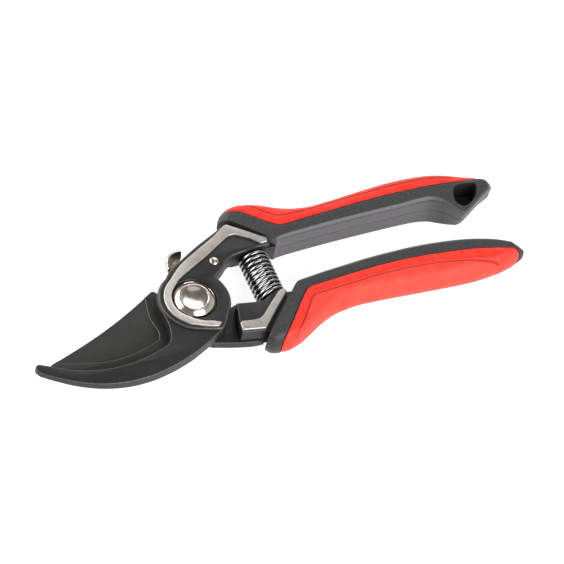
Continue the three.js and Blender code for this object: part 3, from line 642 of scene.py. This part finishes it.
lever_line = [*arc(pivot, 4, -130, 105, 40), (10, 20.7), (7.2, 22.6),
              *arc((thumb_x, thumb_y), thumb_radius - 0.4, 75, 185, 30),
              beside_nose(15.8, 1.5), beside_nose(13.9, 1.4), beside_nose(13.9, -1.4), (2.5, 15.4),
              (6, 14.4), (9, 13.2)]
lever = Body().plate(lever_line, lever_back, lever_front, 0.25, 0.2,
                     holes=[arc(pivot, 1.65, 0, 345, 24)])
thumb_section = [(0, 1.2), (0.5, 1.2), (0.96, 1.2), (1, 1.12), (1, 0.95), (0.975, 0.6), (0.935, 0.3),
                 (0.87, 0.08), (0.8, 0), (0.4, 0), (0, 0)]
steps, around, thumb_wall = 48, len(thumb_section), []
for angle in np.radians(np.linspace(75, 185, steps)):
    for share, inset in thumb_section:
        radius = thumb_radius + flare * share - inset
        thumb_wall.append((thumb_x - slide_x * share + radius * math.cos(angle),
                           thumb_y - slide_y * share + radius * math.sin(angle),
                           lever_back + share * (thumb_top - lever_back)))
quads = [[i * around + j, i * around + (j + 1) % around, (i + 1) * around + (j + 1) % around,
          (i + 1) * around + j] for i in range(steps - 1) for j in range(around)]
ends = [list(range(around))[::-1], list(range((steps - 1) * around, steps * around))]
lever.shell(thumb_wall, quads + ends)
latch_lever = lever.made("lever", [nickel], 35)
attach(latch_lever, "latch")
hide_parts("latch_lever")


def node_tree(name, inputs):
    """A geometry node tree with named inputs, and its group input and output."""
    tree = bpy.data.node_groups.new(name, "GeometryNodeTree")
    for label, kind, value in inputs:
        socket = tree.interface.new_socket(label, in_out="INPUT", socket_type=kind)
        if value is not None:
            socket.default_value = value
    tree.interface.new_socket("Geometry", in_out="OUTPUT", socket_type="NodeSocketGeometry")
    return tree, tree.nodes.new("NodeGroupInput"), tree.nodes.new("NodeGroupOutput")


def join(tree, kind, values=(), **settings):
    """A node of the tree with its settings, and values or links for its inputs."""
    made = tree.nodes.new(kind)
    for name, value in settings.items():
        setattr(made, name, value)
    for name, value in dict(values).items():
        if isinstance(value, bpy.types.NodeSocket):
            tree.links.new(value, made.inputs[name])
        else:
            made.inputs[name].default_value = value
    return made


def grown(name, tree, values):
    """The tree's result as a plain mesh object, with its inputs set by their identifiers."""
    mesh = bpy.data.meshes.new(name)
    holder = bpy.data.objects.new(name, mesh)
    bpy.context.scene.collection.objects.link(holder)
    modifier = holder.modifiers.new("grow", "NODES")
    modifier.node_group = tree
    for item in tree.interface.items_tree:
        if item.item_type == "SOCKET" and item.in_out == "INPUT" and item.name in values:
            modifier[item.identifier] = values[item.name]
    seen = holder.evaluated_get(bpy.context.evaluated_depsgraph_get())
    result = bpy.data.meshes.new_from_object(seen)
    holder.modifiers.clear()
    holder.data = result
    result.shade_smooth()
    result.set_sharp_from_angle(angle=math.radians(50))
    return holder


def dressed(tree, entry, leave, geometry):
    """Ends a tree: real geometry with the finish on it."""
    real = join(tree, "GeometryNodeRealizeInstances", {"Geometry": geometry})
    finished = join(tree, "GeometryNodeSetMaterial", {
        "Geometry": real.outputs["Geometry"], "Material": entry.outputs["Finish"]})
    tree.links.new(finished.outputs["Geometry"], leave.inputs["Geometry"])


ribs_tree, entry, leave = node_tree("thumb_ribs", [
    ("Ribs", "NodeSocketInt", 13), ("Radius", "NodeSocketFloat", 0.00025),
    ("Height", "NodeSocketFloat", 0.004), ("Circle", "NodeSocketFloat", 0.007),
    ("Finish", "NodeSocketMaterial", None)])
rib = join(ribs_tree, "GeometryNodeMeshCylinder", {
    "Vertices": 10, "Side Segments": 1, "Radius": entry.outputs["Radius"], "Depth": entry.outputs["Height"]})
bow = join(ribs_tree, "GeometryNodeCurveArc", {
    "Resolution": entry.outputs["Ribs"], "Radius": entry.outputs["Circle"],
    "Start Angle": math.radians(84), "Sweep Angle": math.radians(96)})
places = join(ribs_tree, "GeometryNodeCurveToPoints", {
    "Curve": bow.outputs["Curve"], "Count": entry.outputs["Ribs"]}, mode="COUNT")
rib_row = join(ribs_tree, "GeometryNodeInstanceOnPoints", {
    "Points": places.outputs["Points"], "Instance": rib.outputs["Mesh"]})
dressed(ribs_tree, entry, leave, rib_row.outputs["Instances"])
ribs = grown("thumb_ribs", ribs_tree, {"Ribs": 15, "Radius": 0.22 * MM, "Height": 3.6 * MM,
                                       "Circle": (thumb_radius + 0.4) * MM, "Finish": nickel})
ribs_middle = (lever_back + 1.1 + thumb_top - 0.5) / 2
# the row of ribs is upright, so each height is moved out to the flared wall
for vertex in ribs.data.vertices:
    x, y, z = vertex.co / MM
    height = z + ribs_middle
    share = (height - lever_back) / (thumb_top - lever_back)
    away = math.hypot(x, y)
    grow = (away + flare * share - 0.38) / away
    vertex.co = Vector((thumb_x - slide_x * share + x * grow, thumb_y - slide_y * share + y * grow,
                        height)) * MM
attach(ribs, "latch")

rivet_low, rivet_high = ((corner / MM).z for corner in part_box("latch_rivet"))
dome_radius, tail_radius, stem_radius = 1.95, 2.1, 1.55
dome_low = pocket_floor + 0.12
dome = [(dome_radius * math.cos(a), dome_low + (rivet_high - dome_low) * math.sin(a))
        for a in np.radians(np.linspace(0, 82, 10))]
latch_rivet = Body().turned([
    (0, rivet_low), (tail_radius - 0.3, rivet_low), (tail_radius, rivet_low + 0.25),
    (tail_radius, rivet_low + 0.75), (stem_radius, rivet_low + 0.8), (stem_radius, pocket_floor + 0.05),
    (dome_radius, pocket_floor + 0.05), *dome, (0, rivet_high)], pivot, 48).made("domed_rivet", [nickel], 60)
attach(latch_rivet, "hook_half")
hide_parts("latch_rivet")


# ---------- spring and its seats ----------
# Two black plastic seats with studs sit on the two forgings. The spring between them is coiled from
# bright wire, with closed ends, and its lowest coils lean with the lower seat's sloping top.

black_plastic, place, wear = new_finish("black plastic")
grains = place.grain(2600, 3, 0.6)
wear({
    "Base Color": grains.between(0.3, 0.7).mix((0.009, 0.009, 0.0095, 1), (0.017, 0.017, 0.018, 1)),
    "Roughness": grains.between(0.3, 0.7, 0.36, 0.5),
    "Normal": grains.bump(0.2, 0.00006),
})
spring_x, spring_radius, wire = 32.6, 6.35, 1.4
seat_lean, seat_drop = 0.32, 1.3
seat_radius, stud_radius = 5.9, 4.55
for node, foot, sign in (("lower_spring_seat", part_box("lower_spring_seat")[0].y / MM, 1),
                         ("upper_spring_seat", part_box("upper_spring_seat")[1].y / MM, -1)):
    low, high = (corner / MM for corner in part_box(node))
    flange = 3.4 if sign > 0 else 0.4
    tall = high.y - low.y
    profile = [(0, 0), (seat_radius - 0.1, 0), (seat_radius, 0.1), (seat_radius, flange - 0.12),
               (seat_radius - 0.12, flange), (stud_radius, flange), (stud_radius, tall - 0.6),
               (stud_radius - 0.65, tall), (0, tall)]
    placed = [(r, foot + sign * h) for r, h in profile]
    seat = Body().turned(placed if sign > 0 else placed[::-1], (spring_x, handle_middle), 64,
                         along_y=True).made(f"{node}_piece", [black_plastic])
    if sign > 0:
        for vertex in seat.data.vertices:
            if vertex.co.y > (foot + 1) * MM:
                vertex.co.y += seat_lean * (vertex.co.x - spring_x * MM) - seat_drop * MM
    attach(seat, "blade_half" if sign > 0 else "hook_half")
    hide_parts(node)

spring_low, spring_high = (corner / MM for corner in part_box("coil_spring"))
coil_tree, entry, leave = node_tree("coil_spring", [
    ("Turns", "NodeSocketFloat", 10.0), ("Radius", "NodeSocketFloat", 0.0056),
    ("Wire", "NodeSocketFloat", 0.0015), ("Start", "NodeSocketFloat", 0.0),
    ("Length", "NodeSocketFloat", 0.02), ("Closed Pitch", "NodeSocketFloat", 0.0016),
    ("Lean", "NodeSocketFloat", 0.3), ("Axis X", "NodeSocketFloat", 0.03),
    ("Axis Z", "NodeSocketFloat", 0.008), ("Points", "NodeSocketInt", 400),
    ("Finish", "NodeSocketMaterial", None)])
turns, pitch, radius = entry.outputs["Turns"], entry.outputs["Closed Pitch"], entry.outputs["Radius"]
axis_x, axis_z, count = entry.outputs["Axis X"], entry.outputs["Axis Z"], entry.outputs["Points"]


def reckon(operation, *values):
    return join(coil_tree, "ShaderNodeMath", dict(enumerate(values)), operation=operation).outputs[0]


line = join(coil_tree, "GeometryNodeMeshLine", {"Count": count})
path = join(coil_tree, "GeometryNodeMeshToCurve", {"Mesh": line.outputs["Mesh"]})
index = join(coil_tree, "GeometryNodeInputIndex").outputs[0]
share = reckon("DIVIDE", index, reckon("SUBTRACT", count, 1.0))
at_turn = reckon("MULTIPLY", share, turns)
last_turn = reckon("ADD", reckon("SUBTRACT", at_turn, turns), 1.0)
closed = reckon("ADD", reckon("MINIMUM", at_turn, 1.0), reckon("MAXIMUM", last_turn, 0.0))
free_length = reckon("SUBTRACT", entry.outputs["Length"], reckon("MULTIPLY", pitch, 2.0))
open_pitch = reckon("DIVIDE", free_length, reckon("SUBTRACT", turns, 2.0))
rise = reckon("ADD", reckon("MULTIPLY", closed, pitch),
              reckon("MULTIPLY", reckon("SUBTRACT", at_turn, closed), open_pitch))
angle = reckon("MULTIPLY", at_turn, 2 * math.pi)
aside = reckon("MULTIPLY", radius, reckon("COSINE", angle))
forward = reckon("MULTIPLY", radius, reckon("SINE", angle))
lean = reckon("MULTIPLY", entry.outputs["Lean"], reckon("SUBTRACT", 1.0, reckon("MULTIPLY", share, 0.85)))
place_of = join(coil_tree, "ShaderNodeCombineXYZ", {
    "X": reckon("ADD", axis_x, aside),
    "Y": reckon("ADD", reckon("ADD", entry.outputs["Start"], rise), reckon("MULTIPLY", lean, aside)),
    "Z": reckon("ADD", axis_z, forward)})
bent = join(coil_tree, "GeometryNodeSetPosition", {
    "Geometry": path.outputs["Curve"], "Position": place_of.outputs["Vector"]})
section_ring = join(coil_tree, "GeometryNodeCurvePrimitiveCircle", {
    "Resolution": 14, "Radius": reckon("MULTIPLY", entry.outputs["Wire"], 0.5)})
drawn_wire = join(coil_tree, "GeometryNodeCurveToMesh", {
    "Curve": bent.outputs["Geometry"], "Profile Curve": section_ring.outputs["Curve"], "Fill Caps": True})
spot = join(coil_tree, "ShaderNodeSeparateXYZ", {
    "Vector": join(coil_tree, "GeometryNodeInputPosition").outputs["Position"]})
from_axis = reckon("SQRT", reckon("ADD", *(
    reckon("POWER", reckon("SUBTRACT", spot.outputs[letter], axis), 2.0)
    for letter, axis in (("X", axis_x), ("Z", axis_z)))))
# marks the wire's side towards the coil's axis for the painted shade between the coils
inside_shade = join(coil_tree, "ShaderNodeMapRange", {
    "Value": reckon("SUBTRACT", radius, from_axis), "From Min": -0.62 * MM, "From Max": -0.42 * MM})
kept = join(coil_tree, "GeometryNodeStoreNamedAttribute", {
    "Geometry": drawn_wire.outputs["Mesh"], "Name": "inside", "Value": inside_shade.outputs["Result"]},
    data_type="FLOAT", domain="POINT")
dressed(coil_tree, entry, leave, kept.outputs["Geometry"])
coil_start = spring_low.y + wire / 2 - seat_drop
coil_length = spring_high.y - wire / 2 - coil_start
spring = grown("bright_spring", coil_tree, {
    "Turns": 10.0, "Radius": (spring_radius - wire / 2) * MM, "Wire": wire * MM,
    "Start": coil_start * MM, "Length": coil_length * MM, "Closed Pitch": (wire + 0.15) * MM,
    "Lean": seat_lean, "Axis X": spring_x * MM, "Axis Z": handle_middle * MM, "Points": 480,
    "Finish": spring_steel})
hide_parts("coil_spring")
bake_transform(spring)


# ---------- handles ----------
# Each handle is a hard, fine textured nylon core moulded round the tang, with a red soft grip
# moulded over its outer side. A groove parts the grip's panel from a smooth margin; the groove is painted a
# darker red as painted shade, and the panel a paler red as painted sheen. The core's inner walls are smoother
# than its front and painted paler as painted light, and the upper core ends in a blind pocket.

grey_plastic, place, wear = new_finish("textured grey nylon")
spark = place.grain(2300, 4, 0.7)
mottle = place.grain(650, 3, 0.6)
facing = place.node("ShaderNodeSeparateXYZ", (), {
    "Vector": place.node("ShaderNodeNewGeometry", out="Normal")}, "Z")
front = facing.between(0.45, 0.85)
speckle = spark.between(0.3, 0.72) * 0.7 + mottle.between(0.3, 0.7) * 0.3
textured = (speckle * (front * 0.6 + 0.4)).mix(
    (0.014, 0.014, 0.015, 1), (0.060, 0.059, 0.062, 1))
wear({
    # the inner walls are painted a paler purple grey, standing for the light they catch from the table:
    # painted light
    "Base Color": (place.kept("wall") * spark.between(0.25, 0.6, 0.6, 1.0)).mix(
        textured, (0.21, 0.198, 0.218, 1)),
    "Roughness": front * 0.06 + 0.44,
    "Specular IOR Level": 0.5,
    "Normal": ((spark * 0.7 + mottle * 0.3) * (front * 0.85 + 0.15)).bump(0.55, 0.00022),
})

red_grip, place, wear = new_finish("red soft grip")
panel, groove = place.kept("panel"), place.kept("groove")
dots = place.grain(3000, 3, 0.65)
soft = place.grain(300, 3, 0.5)
# the panel is painted a paler, pinker red than the margin: a painted sheen on its textured face
lively = (panel * 0.6 + soft.between(0.3, 0.7) * 0.4).mix((0.93, 0.022, 0.008, 1), (0.90, 0.070, 0.046, 1))
wear({
    # the groove is painted a darker red: painted shade in the groove
    "Base Color": groove.mix(lively, (0.42, 0.012, 0.006, 1)),
    "Roughness": panel * 0.1 + dots.between(0.3, 0.7, 0.42, 0.5),
    "Specular IOR Level": 0.38,
    "Normal": (dots * (panel * 0.8 + 0.2)).bump(0.4, 0.00014),
})

handle_low, handle_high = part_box("lower_handle_core")
handle_back, handle_front, handle_end = handle_low.z / MM, handle_high.z / MM, handle_high.x / MM
straight_from = 62


def along(share):
    """How far along the handle's straight part, from its start to the handle's end."""
    return straight_from + share * (handle_end - straight_from)


# each section from the inner wall to the outer side: inner x, inner y at the front and at the back,
# outer x, outer y
stations = {
    "upper": [
        (43.4, 16.3, 15.9, 24.7, 33.7), (44.3, 16.7, 16.1, 26.3, 36.4), (45.2, 16.9, 16.3, 29, 38.4),
        (46.5, 17, 16.4, 33.3, 39.2), (48, 17.1, 16.5, 38, 38.6), (50, 17.2, 16.6, 43, 36.9),
        (53, 17.3, 16.7, 48, 34.4), (57, 17.4, 16.8, 54, 32.2),
        *[(along(s), f, b, along(s), o) for s, f, b, o in [
            (0, 17.5, 16.9, 30.8), (0.1, 17.6, 17, 30.8), (0.23, 17.6, 17, 31.4), (0.36, 17.5, 16.9, 32),
            (0.48, 17.4, 16.7, 32.3), (0.585, 17.6, 16.1, 32), (0.64, 17.2, 15, 31.5), (0.69, 15, 13, 30.9),
            (0.725, 11.5, 11.7, 30.3), (0.755, 7.6, 10.8, 29.6), (0.77, 6.4, 10.4, 29.2),
            (0.79, 6.6, 10.5, 28.6), (0.84, 8.9, 12.5, 27), (0.9, 11.9, 15.4, 24.8), (0.945, 14, 17.4, 22.7),
            (0.97, 15.2, 18, 20.9), (0.985, 16.2, 18, 19.2)]],
    ],
    "lower": [
        (42.4, -5.6, -5.6, 21.2, -26.8), (43.2, -4.9, -4.9, 22.3, -28.5), (44.2, -4.4, -4.4, 24.8, -29.7),
        (45.6, -4.2, -4.2, 28.5, -30.1), (47.5, -4, -4, 32.5, -29.7), (50, -3.8, -3.8, 37, -28.3),
        (53, -3.5, -3.5, 42, -25.7), (57, -3.2, -3.2, 48, -22.4), (60, -3, -3, 55, -19.6),
        *[(along(s), y, y, along(s), o) for s, y, o in [
            (0.02, -2.8, -18.2), (0.16, -2.2, -18.2), (0.3, -2.1, -18.9), (0.42, -2.3, -19.6),
            (0.55, -3.1, -20.3), (0.68, -4.6, -20.8), (0.78, -6.4, -20.5), (0.87, -8.8, -19.3),
            (0.93, -11.2, -17.7), (0.965, -13, -16.8), (0.985, -14.2, -16.2), (1, -15, -15.8)]],
    ],
}
grip_edge = {
    "upper": [(26, 39.3), (30.5, 35.4), (33, 34), (37, 31), (41, 27.2), (45, 24.2), (47, 23), (49, 22.8),
              *[(along(s), y) for s, y in [(0, 23.4), (0.23, 24), (0.36, 24.2), (0.48, 24.1), (0.62, 23.7),
                                           (0.74, 22.8), (0.83, 21.9), (0.9, 21.6), (1.05, 23.5)]]],
    "lower": [(18, -37), (26, -31), (30, -27), (35, -21.5), (40, -15.6), (45, -10.2), (46.5, -9.1),
              (48.5, -8.7),
              *[(along(s), y) for s, y in [(0, -7.8), (0.23, -7.1), (0.36, -7.3), (0.48, -8), (0.61, -9.2),
                                           (0.74, -10.7), (0.86, -13), (0.93, -14.8), (0.985, -17),
                                           (1.05, -20)]]],
}
groove_line = {
    "upper": [(36, 37.6), (41, 33), (45, 29.6), (48, 27.7), (52, 27.1), (60, 27), (70, 27.3), (80, 27.7),
              (90, 27.9), (100, 28), (110, 27.5), (115, 27), (125, 25)],
    "lower": [(29, -34.3), (35, -27.5), (40, -22), (45, -15.5), (46.5, -13.8), (48.5, -13), (55, -12.5),
              (65, -12), (75, -11.5), (85, -11.5), (95, -12), (105, -13.2), (115, -15.3), (122, -17.3),
              (127, -19), (129.5, -20.5)],
}
pocket_mouth = [(handle_end - inset, y) for inset, y in [
    (19.4, 14), (19, 12), (17.6, 10.2), (16, 9.6), (12.6, 11.2), (9.8, 13.6), (8.2, 16.5), (7.7, 18.4),
    (8.3, 19.5), (10.6, 20.1), (15.4, 20.4), (17.6, 19), (18.8, 16.5)]]


def eased(knots, values, at):
    """Values on a smooth curve through knots that aren't evenly spaced."""
    knots, values = np.array(knots), np.array(values, float)
    slopes = np.gradient(values, knots, axis=0)
    i = np.clip(np.searchsorted(knots, at, "right") - 1, 0, len(knots) - 2)
    span = (knots[i + 1] - knots[i])[:, None]
    t = ((at - knots[i])[:, None]) / span
    return ((2 * t ** 3 - 3 * t ** 2 + 1) * values[i] + (t ** 3 - 2 * t ** 2 + t) * span * slopes[i]
            + (3 * t ** 2 - 2 * t ** 3) * values[i + 1] + (t ** 3 - t ** 2) * span * slopes[i + 1])


def skin(side, count):
    """A closed grid of points over a handle: count rows along it, each once round its section."""
    table = np.array(stations[side], float)
    middle = (table[:, [0, 1]] + table[:, [3, 4]]) / 2
    knots = np.concatenate([[0], np.cumsum(np.linalg.norm(np.diff(middle, axis=0), axis=1))])
    at = np.linspace(0, knots[-1], count)
    inner_x, front_y, back_y, outer_x, outer_y = eased(knots, table, at).T
    line_x, line_y = outer_x - inner_x, outer_y - (front_y + back_y) / 2
    width = np.hypot(line_x, line_y)
    outer_round = 6
    half = (handle_front - handle_back) / 2 * np.sqrt(np.minimum(width / outer_round, 1))
    mid = (handle_front + handle_back) / 2
    bulge = np.minimum(outer_round, width * 0.45)
    front_corner, back_corner = np.minimum(1.2, width * 0.3), np.minimum(0.6, width * 0.3)
    parting_line, inner_wall = 0.28, 0 * width
    columns = [(inner_wall + parting_line, mid + 0 * width)]
    for t in np.linspace(0, 1, 24)[1:-1]:
        columns.append((inner_wall, mid + (half - front_corner) * t))
    for a in np.radians(np.linspace(0, 90, 7)):
        columns.append((front_corner * (1 - math.cos(a)), mid + half - front_corner * (1 - math.sin(a))))
    for t in np.linspace(0, 1, 46)[1:-1]:
        columns.append((front_corner + (width - bulge - front_corner) * t, mid + half))
    for a in np.radians(np.linspace(90, -90, 66)):
        columns.append((width - bulge + bulge * math.cos(a), mid + half * math.sin(a)))
    for t in np.linspace(1, 0, 22)[1:-1]:
        columns.append((back_corner + (width - bulge - back_corner) * t, mid - half))
    for a in np.radians(np.linspace(90, 0, 4)):
        columns.append((back_corner * (1 - math.cos(a)), mid - half + back_corner * (1 - math.sin(a))))
    for t in np.linspace(1, 0, 14)[1:-1]:
        columns.append((inner_wall, mid - (half - back_corner) * t))
    across = np.stack([c[0] for c in columns], 1)
    height = np.stack([c[1] for c in columns], 1)
    slope = ((height - handle_back) / (handle_front - handle_back) - 0.5) * (front_y - back_y)[:, None]
    fade = np.maximum(1 - across / width[:, None], 0)
    x = inner_x[:, None] + (line_x / width)[:, None] * across
    y = ((front_y + back_y) / 2)[:, None] + (line_y / width)[:, None] * across + slope * fade
    return np.stack([x, y, height], 2)


def beside(points, line):
    """Distance of points from a line in the plane, positive to the left of it."""
    line = np.array(line, float)
    best, signed = np.full(len(points), 1e9), np.zeros(len(points))
    for a, b in zip(line[:-1], line[1:]):
        d = b - a
        t = np.clip(((points - a) @ d) / (d @ d), 0, 1)
        gap = points - (a + t[:, None] * d)
        far = np.linalg.norm(gap, axis=1)
        turn_of = d[0] * (points[:, 1] - a[1]) - d[1] * (points[:, 0] - a[0])
        closer = far < best - 1e-9
        best = np.where(closer, far, best)
        signed = np.where(closer, np.where(turn_of >= 0, far, -far), signed)
    return signed


def kept_side(points, faces, marks, values):
    """The part of a mesh where values are above nothing, cut cleanly along the line between."""
    points, marks, values = list(map(tuple, points)), [list(m) for m in marks], list(values)
    cuts, kept, rim = {}, [], []
    for face in faces:
        inside = [values[i] > 0 for i in face]
        if all(inside):
            kept.append(face)
        elif any(inside):
            made = []
            for here, there in zip(face, face[1:] + face[:1]):
                if values[here] > 0:
                    made.append(here)
                if (values[here] > 0) != (values[there] > 0):
                    key = (min(here, there), max(here, there))
                    if key not in cuts:
                        a, b = key
                        t = values[a] / (values[a] - values[b])
                        t = min(max(t, 0.002), 0.998)
                        points.append(tuple(p + (q - p) * t for p, q in zip(points[a], points[b])))
                        marks.append([p + (q - p) * t for p, q in zip(marks[a], marks[b])])
                        values.append(1e-9)
                        cuts[key] = len(points) - 1
                    made.append(cuts[key])
            if len(made) > 2:
                kept.append(made)
    used = sorted({i for face in kept for i in face})
    number_of = {old: new for new, old in enumerate(used)}
    return ([points[i] for i in used], [[number_of[i] for i in face] for face in kept],
            [marks[i] for i in used], [number_of[i] for i in cuts.values() if i in number_of])


def moulding(name, points, faces, marks, finish, thickness):
    """A moulded shell: the skin with a wall of even thickness inside it."""
    piece = mesh_of(name, points, faces, [finish], angle=42)
    for label, column in (("panel", 0), ("groove", 1), ("wall", 2)):
        layer = piece.data.attributes.new(label, "FLOAT", "POINT")
        layer.data.foreach_set("value", [m[column] for m in marks])
    solid = piece.modifiers.new("wall", "SOLIDIFY")
    solid.thickness, solid.offset = thickness * MM, -1
    seen = piece.evaluated_get(bpy.context.evaluated_depsgraph_get())
    walled = bpy.data.meshes.new_from_object(seen)
    piece.modifiers.clear()
    piece.data = walled
    return piece


for side, body in (("upper", "hook_half"), ("lower", "blade_half")):
    grid = skin(side, 330)
    rows_along, columns_round = grid.shape[:2]
    flat_points = grid.reshape(-1, 3)
    normals = np.cross(np.roll(grid, -1, 1) - np.roll(grid, 1, 1), np.gradient(grid, axis=0))
    normals /= np.maximum(np.linalg.norm(normals, axis=2), 1e-9)[:, :, None]
    if np.mean(np.sum(normals * (grid - grid.mean(axis=1, keepdims=True)), axis=2)) < 0:
        normals = -normals
    normals = normals.reshape(-1, 3)
    sign = 1 if side == "upper" else -1
    inside_grip = sign * beside(flat_points[:, :2], grip_edge[side])
    to_groove = np.abs(beside(flat_points[:, :2], through(groove_line[side], 60)))
    past_groove = sign * beside(flat_points[:, :2], groove_line[side])
    facing_out = np.abs(normals[:, 2]) > 0.35
    groove_depth = np.exp(-(to_groove / 0.36) ** 2) * facing_out
    panel_share = 1 / (1 + np.exp(-np.clip(past_groove, -8, 8) / 0.3))
    seam = np.exp(-np.maximum(np.abs(inside_grip) - 0.14, 0) / 0.3)
    shift = -0.3 * seam - 0.42 * groove_depth - 0.1 * panel_share * (inside_grip > 0)
    shaped = flat_points + normals * shift[:, None]
    # how pale each column is painted, as painted light: the inner wall's front half, a dark line, the corner
    # as a painted highlight, the wall's back half
    wall = np.zeros(columns_round)
    wall[:21], wall[21:23], wall[23:29], wall[-13:] = 0.55, 0.1, 0.8, 0.55
    # the walls' painted paleness fades towards the handle's end
    fading = np.interp(flat_points[:, 0], [along(0.6), along(0.7)], [1, 0.45])
    marks = np.stack([panel_share, groove_depth, np.tile(wall, rows_along) * fading], 1)
    faces = []
    for i in range(rows_along - 1):
        for j in range(columns_round):
            a, b = i * columns_round + j, i * columns_round + (j + 1) % columns_round
            faces.append([a, b, b + columns_round, a + columns_round])
    faces += [list(range(columns_round))[::-1],
              list(range((rows_along - 1) * columns_round, rows_along * columns_round))]
    a, b, c = (shaped[i] for i in faces[20][:3])
    if np.dot(np.cross(b - a, c - b), normals[faces[20][0]]) < 0:
        faces = [face[::-1] for face in faces]

    grip_points, grip_faces, grip_marks, _ = kept_side(shaped, faces, marks, inside_grip - 0.14)
    grip = moulding(f"{side}_soft_grip", grip_points, grip_faces, grip_marks, red_grip, 1.3)
    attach(grip, body)
    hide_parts(f"{side}_grip")

    core_points, core_faces, core_marks, _ = kept_side(shaped, faces, marks, -inside_grip - 0.14)
    if side == "upper":
        # the blind pocket in the handle's end, with drafted walls and a rounded foot
        mouth = through([*pocket_mouth, pocket_mouth[0]], 90)[:-1]
        if area(mouth) < 0:
            mouth = mouth[::-1]
        cut_at = np.array(core_points)
        outside = -beside(cut_at[:, :2], [*mouth, mouth[0]])
        outside = np.where(cut_at[:, 2] > handle_middle + 3, outside, 50.0)
        core_points, core_faces, core_marks, rim = kept_side(core_points, core_faces, core_marks, outside)
        middle = np.mean(np.array(mouth), axis=0)
        rim.sort(key=lambda i: math.atan2(core_points[i][1] - middle[1], core_points[i][0] - middle[0]))
        previous = rim
        for scale, depth in [(0.985, 0.12), (0.965, 0.35), (0.955, 1.0), (0.90, 5.0), (0.86, 8.9),
                             (0.83, 9.6), (0.76, 9.9)]:
            ring = []
            for i in rim:
                x, y, _ = core_points[i]
                ring.append(len(core_points))
                core_points.append((middle[0] + (x - middle[0]) * scale,
                                    middle[1] + (y - middle[1]) * scale + 0.06 * depth, handle_front - depth))
                core_marks.append([0, 0, 0])
            for k in range(len(rim)):
                m = (k + 1) % len(rim)
                core_faces.append([previous[k], previous[m], ring[m], ring[k]])
            previous = ring
        core_faces.append(previous)
    core = moulding(f"{side}_core", core_points, core_faces, core_marks, grey_plastic, 1.1)
    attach(core, body)
    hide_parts(f"{side}_handle_core")


# ---------- floor and light ----------
# A plain white table in a pale tent that is darker overhead. The strongest of five soft square lights
# is on the lower handle's side, one is past the tips, two are beyond the upper handle, and a weak
# one is overhead.

floor_finish, place, wear = new_finish("white table")
wear({"Base Color": (0.4, 0.4, 0.4, 1), "Roughness": 0.8, "Specular IOR Level": 0.0,
      "Emission Color": (1, 1, 1, 1), "Emission Strength": 0.88})
table_half, table_top = 3000, -0.6
floor = mesh_of("table", [(x * table_half, y * table_half, table_top)
                          for x, y in ((-1, -1), (1, -1), (1, 1), (-1, 1))], [[0, 1, 2, 3]], [floor_finish])
floor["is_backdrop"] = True

world = bpy.data.worlds.new("studio")
bpy.context.scene.world = world
world.use_nodes = True
sky = Wire(world.node_tree)
height = sky.node("ShaderNodeSeparateXYZ", (), {
    "Vector": sky.node("ShaderNodeTexCoord", out="Generated")}, "Z")
tent = sky.node("ShaderNodeValToRGB", {"stops": [
    (0.0, (1, 1, 1, 1)), (0.4, (0.85, 0.84, 0.83, 1)), (0.72, (0.34, 0.325, 0.31, 1)),
    (1.0, (0.22, 0.205, 0.19, 1))]}, {"Fac": height}, "Color")
world.node_tree.links.new(tent.socket, world.node_tree.nodes["Background"].inputs["Color"])
world.node_tree.nodes["Background"].inputs["Strength"].default_value = 0.6
bpy.context.scene.view_settings.view_transform = "Standard"


def soft_light(name, place_of_light, size, power):
    """A square light that shines at the shears."""
    data = bpy.data.lights.new(name, "AREA")
    data.shape, data.size, data.energy = "SQUARE", size, power
    lamp = bpy.data.objects.new(name, data)
    spot = Vector(place_of_light)
    lamp.location = spot
    lamp.rotation_euler = (aim - spot).to_track_quat("-Z", "Y").to_euler()
    bpy.context.scene.collection.objects.link(lamp)
    lamp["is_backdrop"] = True


soft_light("front", (0.32, -1.12, 0.82), 0.95, 18)
soft_light("side", (-1.05, 0.45, 0.75), 0.7, 7)
soft_light("low_left", (-0.54, 0.97, 0.46), 0.8, 5)
soft_light("overhead", (0.25, -0.02, 1.2), 0.55, 0.5)
soft_light("far_side", (0.62, 0.88, 0.70), 0.7, 3)

low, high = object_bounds()
